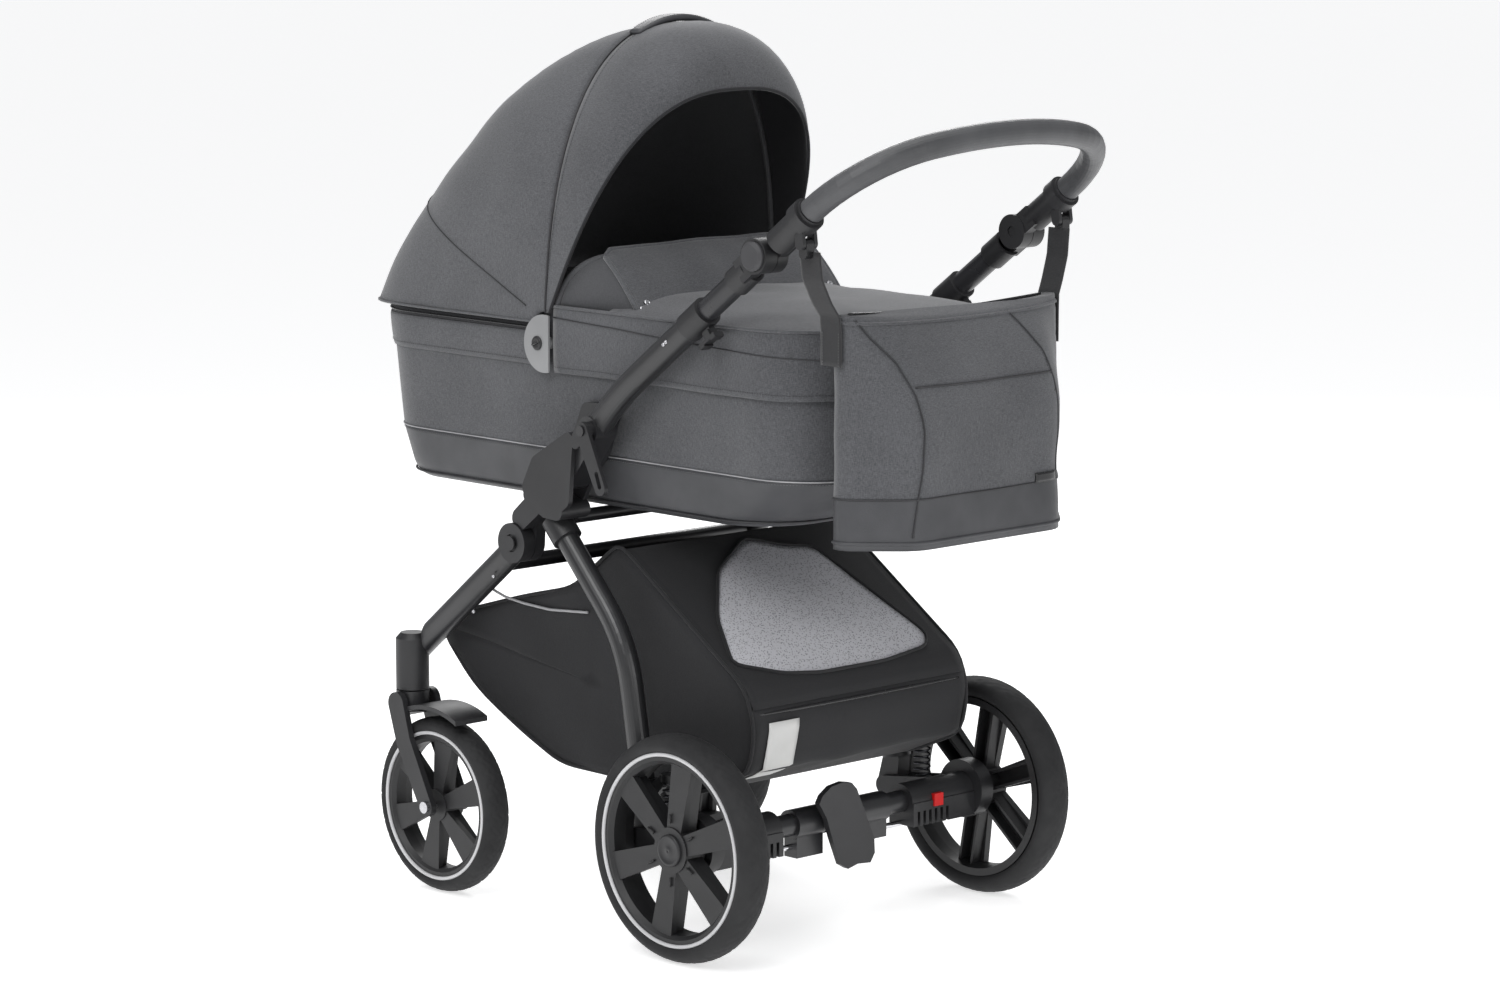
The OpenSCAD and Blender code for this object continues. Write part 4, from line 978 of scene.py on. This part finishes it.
bag_rings = []
for i in range(33):
    t = i / 32
    ring = bag_ring(t)
    n = len(ring)
    for k, p in enumerate(ring):
        if t > 0.9:
            dip = (t - 0.9) / 0.1 * 9 * (1 - (p.x / BAG_HALF) ** 2)
            p.z -= dip
        out_dir = Vector((p.x * 0.2, p.y - 205, 0)).normalized()
        bulge = ripple(p, 85, 5.0) * sin(pi * min(t * 1.1, 1))
        ring[k] = p + out_dir * min(bulge, 1.5)
    bag_rings.append(ring)
BAND_T = 0.2
split = [i for i in range(33) if i / 32 <= BAND_T]
bag_body = loft("bag_body", bag_rings, *BAG_ON, [CLOTH, SKIN],
                face_looks=[1 if i // 84 < len(split) else 0 for i in range(32 * 84)] + [1, 0])
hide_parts("bag")
bag_tree = skin_tree(bag_body)


def on_back(x, t):
    """A point on the bag's outward skin at a width and a height share."""
    z = bag_low[2] + BAG_H * t
    hit = bag_tree.ray_cast(Vector((x, BAG_BACK + 80, z)), Vector((0, -1, 0)))
    return (hit[0] if hit[0] else Vector((x, BAG_BACK - 20, z))) + Vector((0, 0.4, 0))


SEAMS = {"left": [(182, 0.975), (166, 0.90), (142, 0.80), (126, 0.66), (120, 0.5), (122, 0.35), (128, 0.22),
                  (134, 0.06)],
         "right": [(-78, 0.955), (-98, 0.87), (-118, 0.78), (-127, 0.66), (-130, 0.5), (-131, 0.36),
                   (-132, 0.22)]}
for tag, line in SEAMS.items():
    points = [on_back(p.x, p.y / BAG_H) for p in resample([(x, t * BAG_H, 0) for x, t in line], 7)]
    tube("bag_seam_" + tag, points, 1.3, *BAG_ON, PIPING, sides=6)
    stitches("bag_seam_stitches_" + tag, [p + Vector((3.6, 0.5, 0)) for p in points], *BAG_ON, PIPING)
pocket_line = [on_back(x, 0.685 + 0.00004 * abs(x)) for x in range(-124, 125, 8)]
tube("bag_pocket_edge", pocket_line, 1.8, *BAG_ON, PIPING, sides=6, flat=0.7)
stitches("bag_pocket_stitches", [p + Vector((0, 0.4, -4.5)) for p in pocket_line], *BAG_ON, PIPING)
band_line = bag_rings[split[-1] + 1]
mid_point = sum(band_line, Vector()) / len(band_line)
tube("bag_band_edge", [p + (p - mid_point).normalized() * 0.6 for p in band_line], 1.3, *BAG_ON,
     PIPING, sides=6, closed=True)
for tag, k in (("base", 1), ("top", 31)):
    line = bag_rings[k]
    centre = sum(line, Vector()) / len(line)
    tube("bag_piping_" + tag, [p + (p - centre).normalized() * 0.5 for p in line], 2.2, *BAG_ON,
         CLOTH if tag == "top" else SKIN, sides=8, closed=True)
zip_y = (BAG_FRONT + 2 + bag_rings[32][0].y) / 2 + 12
zip_line = [Vector((x, zip_y, bag_high[2] - 8 + 7 * (x / BAG_HALF) ** 2)) for x in range(-176, 177, 8)]
tube("bag_zip", zip_line, 3.0, *BAG_ON, BLACK_GLOSS, sides=8, flat=0.7)
tag_rows = [[on_back(x, t) + Vector((0, 1.4, 0)) for x in np.linspace(-128, -86, 9)]
            for t in (0.222, 0.232, 0.242, 0.252, 0.262)]
skin("bag_tag", tag_rows, (0, 1.8, 0), "bag", "buckle_black", BLACK_GLOSS)

# Straps: webbing from each buckle to the bag's corner, and down its side
buckle_low = node_mm("bag_buckles")[0]
for sign, tag in SIDES:
    inner = BAG_HALF + 0.8
    path = [(sign * 230, 181.7, buckle_low[2] + 9), (sign * 226, 182.5, 896), (sign * 213, 186, 866),
            (sign * (inner + 1.5), 189.5, 848), (sign * inner, 190.5, 826), (sign * inner, 190.5, 786)]
    line = resample(path, 7)
    rows, under = [], []
    for i, p in enumerate(line):
        a, b = line[max(i - 1, 0)], line[min(i + 1, len(line) - 1)]
        t = (b - a).normalized()
        normal = t.cross(Vector((0, 1, 0))).normalized() * sign
        normal = -normal if normal.x * sign < 0 else normal
        row = [p + Vector((0, w, 0)) + normal * (0.35 * cos(w)) for w in np.linspace(-18, 18, 13)]
        rows.append(row)
        under.append([q - normal * 2.0 for q in row])
    verts, faces, _ = sheet_shell(rows, under)
    strap = piece("bag_strap_" + tag, verts, faces, "bag", "webbing", STRAP)
    if sign == 1:
        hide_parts("bag_straps")
    for y in (-14, 14):
        stitches(f"bag_strap_stitches_{tag}_{'a' if y < 0 else 'b'}",
                 [p + Vector((sign * 0.9, y, 0)) for p in line[-7:]], "bag", "webbing", THREAD, 3.6, 2.4)

# ---------------------------------------------------------------- wheels
def lathe(name, x, centre, profile, body, slot, look, sides=96, wave=None):
    """A ring turned about the X axis; profile holds (x offset, radius) pairs and wave bends its tread."""
    rings = []
    for k in range(sides):
        w = 2 * pi * k / sides
        ring = []
        for dx, r in profile:
            dr, ddx = wave(w, dx, r) if wave else (0.0, 0.0)
            ring.append((x + dx + ddx, centre[0] + (r + dr) * cos(w), centre[1] + (r + dr) * sin(w)))
        rings.append(ring)
    verts = [p for ring in rings for p in ring]
    return piece(name, verts, grid((sides, len(profile)), closed_rows=True), body, slot, look)


def tyre_profile(radius, width, depth):
    """Half section of a tyre from its inner edge over the tread and back."""
    out = [(-width * 0.36, radius - depth)]
    high = depth * 0.58
    for w in np.linspace(221, -41, 41):
        c, q = cos(radians(w)), sin(radians(w))
        out.append((width / 2 * c, radius - high + high * q))
    out.append((width * 0.36, radius - depth))
    return out


def tread(radius, waves):
    """Wavy grooves round the tyre and a row of shallow nicks on its shoulders."""
    def bend(w, dx, r):
        if r < radius - 16:
            return 0.0, 0.0
        path = 4.2 * sin(waves * w)
        groove = sum(exp(-((dx - c - path) / 1.3) ** 2) for c in (-10, 0, 10))
        nick = exp(-((sin(waves * w / 2)) / 0.16) ** 2) * exp(-((abs(dx) - 17) / 3.5) ** 2)
        return -1.3 * groove - 1.1 * nick, 0.0
    return bend


HUB_CAP_R = 21
for tag, prefix, waves in (("left", "rear", 46), ("right", "rear", 46), ("left", "front", 38),
                           ("right", "front", 38)):
    node = f"{prefix}_tyre_{tag}"
    low, high = node_mm(node)
    x, radius, width = (low[0] + high[0]) / 2, (high[2] - low[2]) / 2, high[0] - low[0]
    centre = ((low[1] + high[1]) / 2, (low[2] + high[2]) / 2)
    body = f"{prefix}_wheel_{tag}"
    seat = 26 if prefix == "rear" else 22
    profile = tyre_profile(radius - 0.2, width - 0.4, seat)
    tyre = lathe(f"{prefix}_tread_{tag}", x, centre, profile, body, "tyre", TYRE, sides=288,
                 wave=tread(radius, waves))
    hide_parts(node)
    sign = 1 if x > 0 else -1
    rim_low, rim_high = node_mm(f"{prefix}_rim_{tag}")
    face = rim_high[0] if sign > 0 else rim_low[0]
    if prefix == "front":
        continue
    lathe(f"rear_hub_cap_{tag}", face, centre, [(sign * d, r) for d, r in
          ((-6, HUB_CAP_R), (0.8, HUB_CAP_R), (2.0, HUB_CAP_R - 1.2), (2.2, HUB_CAP_R - 4),
           (1.4, HUB_CAP_R - 5), (1.6, 5), (2.4, 3.5), (2.4, 0.3), (-6, 0.3))], body, "rim_plastic", BLACK, sides=48)
    for k in range(6):
        w = radians(60 * k + 30)
        spoke = Vector((0, cos(w), sin(w)))
        at = Vector((face - sign * 2, *centre)) + spoke * (HUB_CAP_R * 1.7)
        tube(f"rear_hub_rib_{tag}_{k}", [at, at + spoke * 12], 1.6, body, "rim_plastic", RIM, sides=6)

# Coil springs: finer wire than the frame's stand-in
spring_low, spring_high = node_mm("suspension_springs")
for sign, tag in SIDES:
    y0, turns = (spring_low[1] + spring_high[1]) / 2, 7
    r_coil, wire = (spring_high[1] - spring_low[1]) / 2 - 1.8, 1.6
    x0 = sign * (spring_high[0] - (spring_high[1] - spring_low[1]) / 2)
    path = [(x0 + r_coil * cos(w), y0 + r_coil * sin(w),
             spring_low[2] + 2 + (spring_high[2] - spring_low[2] - 4) * w / (2 * pi * turns))
            for w in np.linspace(0, 2 * pi * turns, 28 * turns)]
    coil = tube("coil_" + tag, path, wire, "chassis", "spring_steel", SPRING, sides=8)
    if sign == 1:
        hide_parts("suspension_springs")
    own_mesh(coil)

# Screws and small fittings
def screw(name, at, axis, body, radius=4.2, look=STEEL, slot="axle_steel"):
    """A domed screw head with a hexagon socket, standing on a surface."""
    axis = Vector(axis).normalized()
    a = axis.orthogonal().normalized()
    b = axis.cross(a)
    rings = []
    for r, h, n in ((1.0, -1.2, 0), (1.0, 0.5, 0), (0.86, 1.2, 0), (0.62, 1.6, 0), (0.46, 1.6, 6),
                    (0.42, 0.6, 6), (0.05, 0.5, 0)):
        ring = []
        for w in np.linspace(0, 2 * pi, 24, endpoint=False):
            k = 1.0 if not n else cos(pi / n) / cos((w % (2 * pi / n)) - pi / n)
            ring.append(Vector(at) + (a * cos(w) + b * sin(w)) * (r * k * radius) + axis * h)
        rings.append(ring)
    return loft(name, rings, body, slot, look)


SLOPE = radians(36.5)
ALONG = Vector((0, cos(SLOPE), sin(SLOPE)))
HINGE_AT = Vector((0, 108, 922 + LIFT))
LEG_JOINT = Vector((0, -361, 503))
LEG_ALONG = Vector((0, -0.618, -0.786))
RIVET_X = 252.4
for sign, tag in SIDES:
    out_x = sign * RIVET_X
    for k, run in enumerate((-212, -206)):
        p = HINGE_AT + ALONG * run
        screw(f"tube_rivet_{tag}_{k}", (out_x, p.y, p.z), (sign, 0, 0), "push_frame", 2.6)
    for k, run in enumerate((64, 132)):
        p = LEG_JOINT + LEG_ALONG * run
        screw(f"leg_rivet_{tag}_{k}", (out_x, p.y, p.z), (sign, 0, 0), "front_frame", 2.6)

# ---------------------------------------------------------------- floor and lights

def area_light(name, at, aim, size, power, colour=(1, 1, 1)):
    data = bpy.data.lights.new(name, "AREA")
    data.shape = "RECTANGLE"
    data.size, data.size_y = size
    data.energy = power
    data.color = colour
    light = bpy.data.objects.new(name, data)
    light.location = Vector(at)
    light.rotation_euler = (Vector(at) - Vector(aim)).to_track_quat("Z", "Y").to_euler()
    SCENE.collection.objects.link(light)
    return light


floor_material = bpy.data.materials.new("studio_floor")
floor_material.use_nodes = True
floor_bsdf = floor_material.node_tree.nodes["Principled BSDF"]
floor_bsdf.inputs["Base Color"].default_value = (0.86, 0.86, 0.86, 1)
floor_bsdf.inputs["Roughness"].default_value = 0.6
floor_bsdf.inputs["Emission Color"].default_value = (1, 1, 1, 1)
floor_bsdf.inputs["Emission Strength"].default_value = 0.62
floor_mesh = bpy.data.meshes.new("studio_floor")
floor_mesh.from_pydata([(-70, -70, 0), (70, -70, 0), (70, 70, 0), (-70, 70, 0)], [], [(0, 1, 2, 3)])
floor_mesh.materials.append(floor_material)
floor = bpy.data.objects.new("studio_floor", floor_mesh)
SCENE.collection.objects.link(floor)
world = bpy.data.worlds.new("studio")
world.use_nodes = True
world.node_tree.nodes["Background"].inputs["Color"].default_value = (0.93, 0.94, 0.96, 1)
world.node_tree.nodes["Background"].inputs["Strength"].default_value = 0.38
SCENE.world = world
area_light("key", (3.6, 1.2, 3.4), (0, 0, 0.6), (2.6, 2.0), 88)
area_light("fill", (0.6, 4.4, 1.8), (0, 0, 0.6), (2.8, 1.8), 34)
area_light("rim", (-2.6, -2.8, 2.8), (0, 0, 0.8), (2.4, 1.4), 62)
area_light("top", (0.3, 0.0, 3.8), (0, 0, 0.6), (3.2, 3.2), 62)
SCENE.view_settings.view_transform = "Standard"
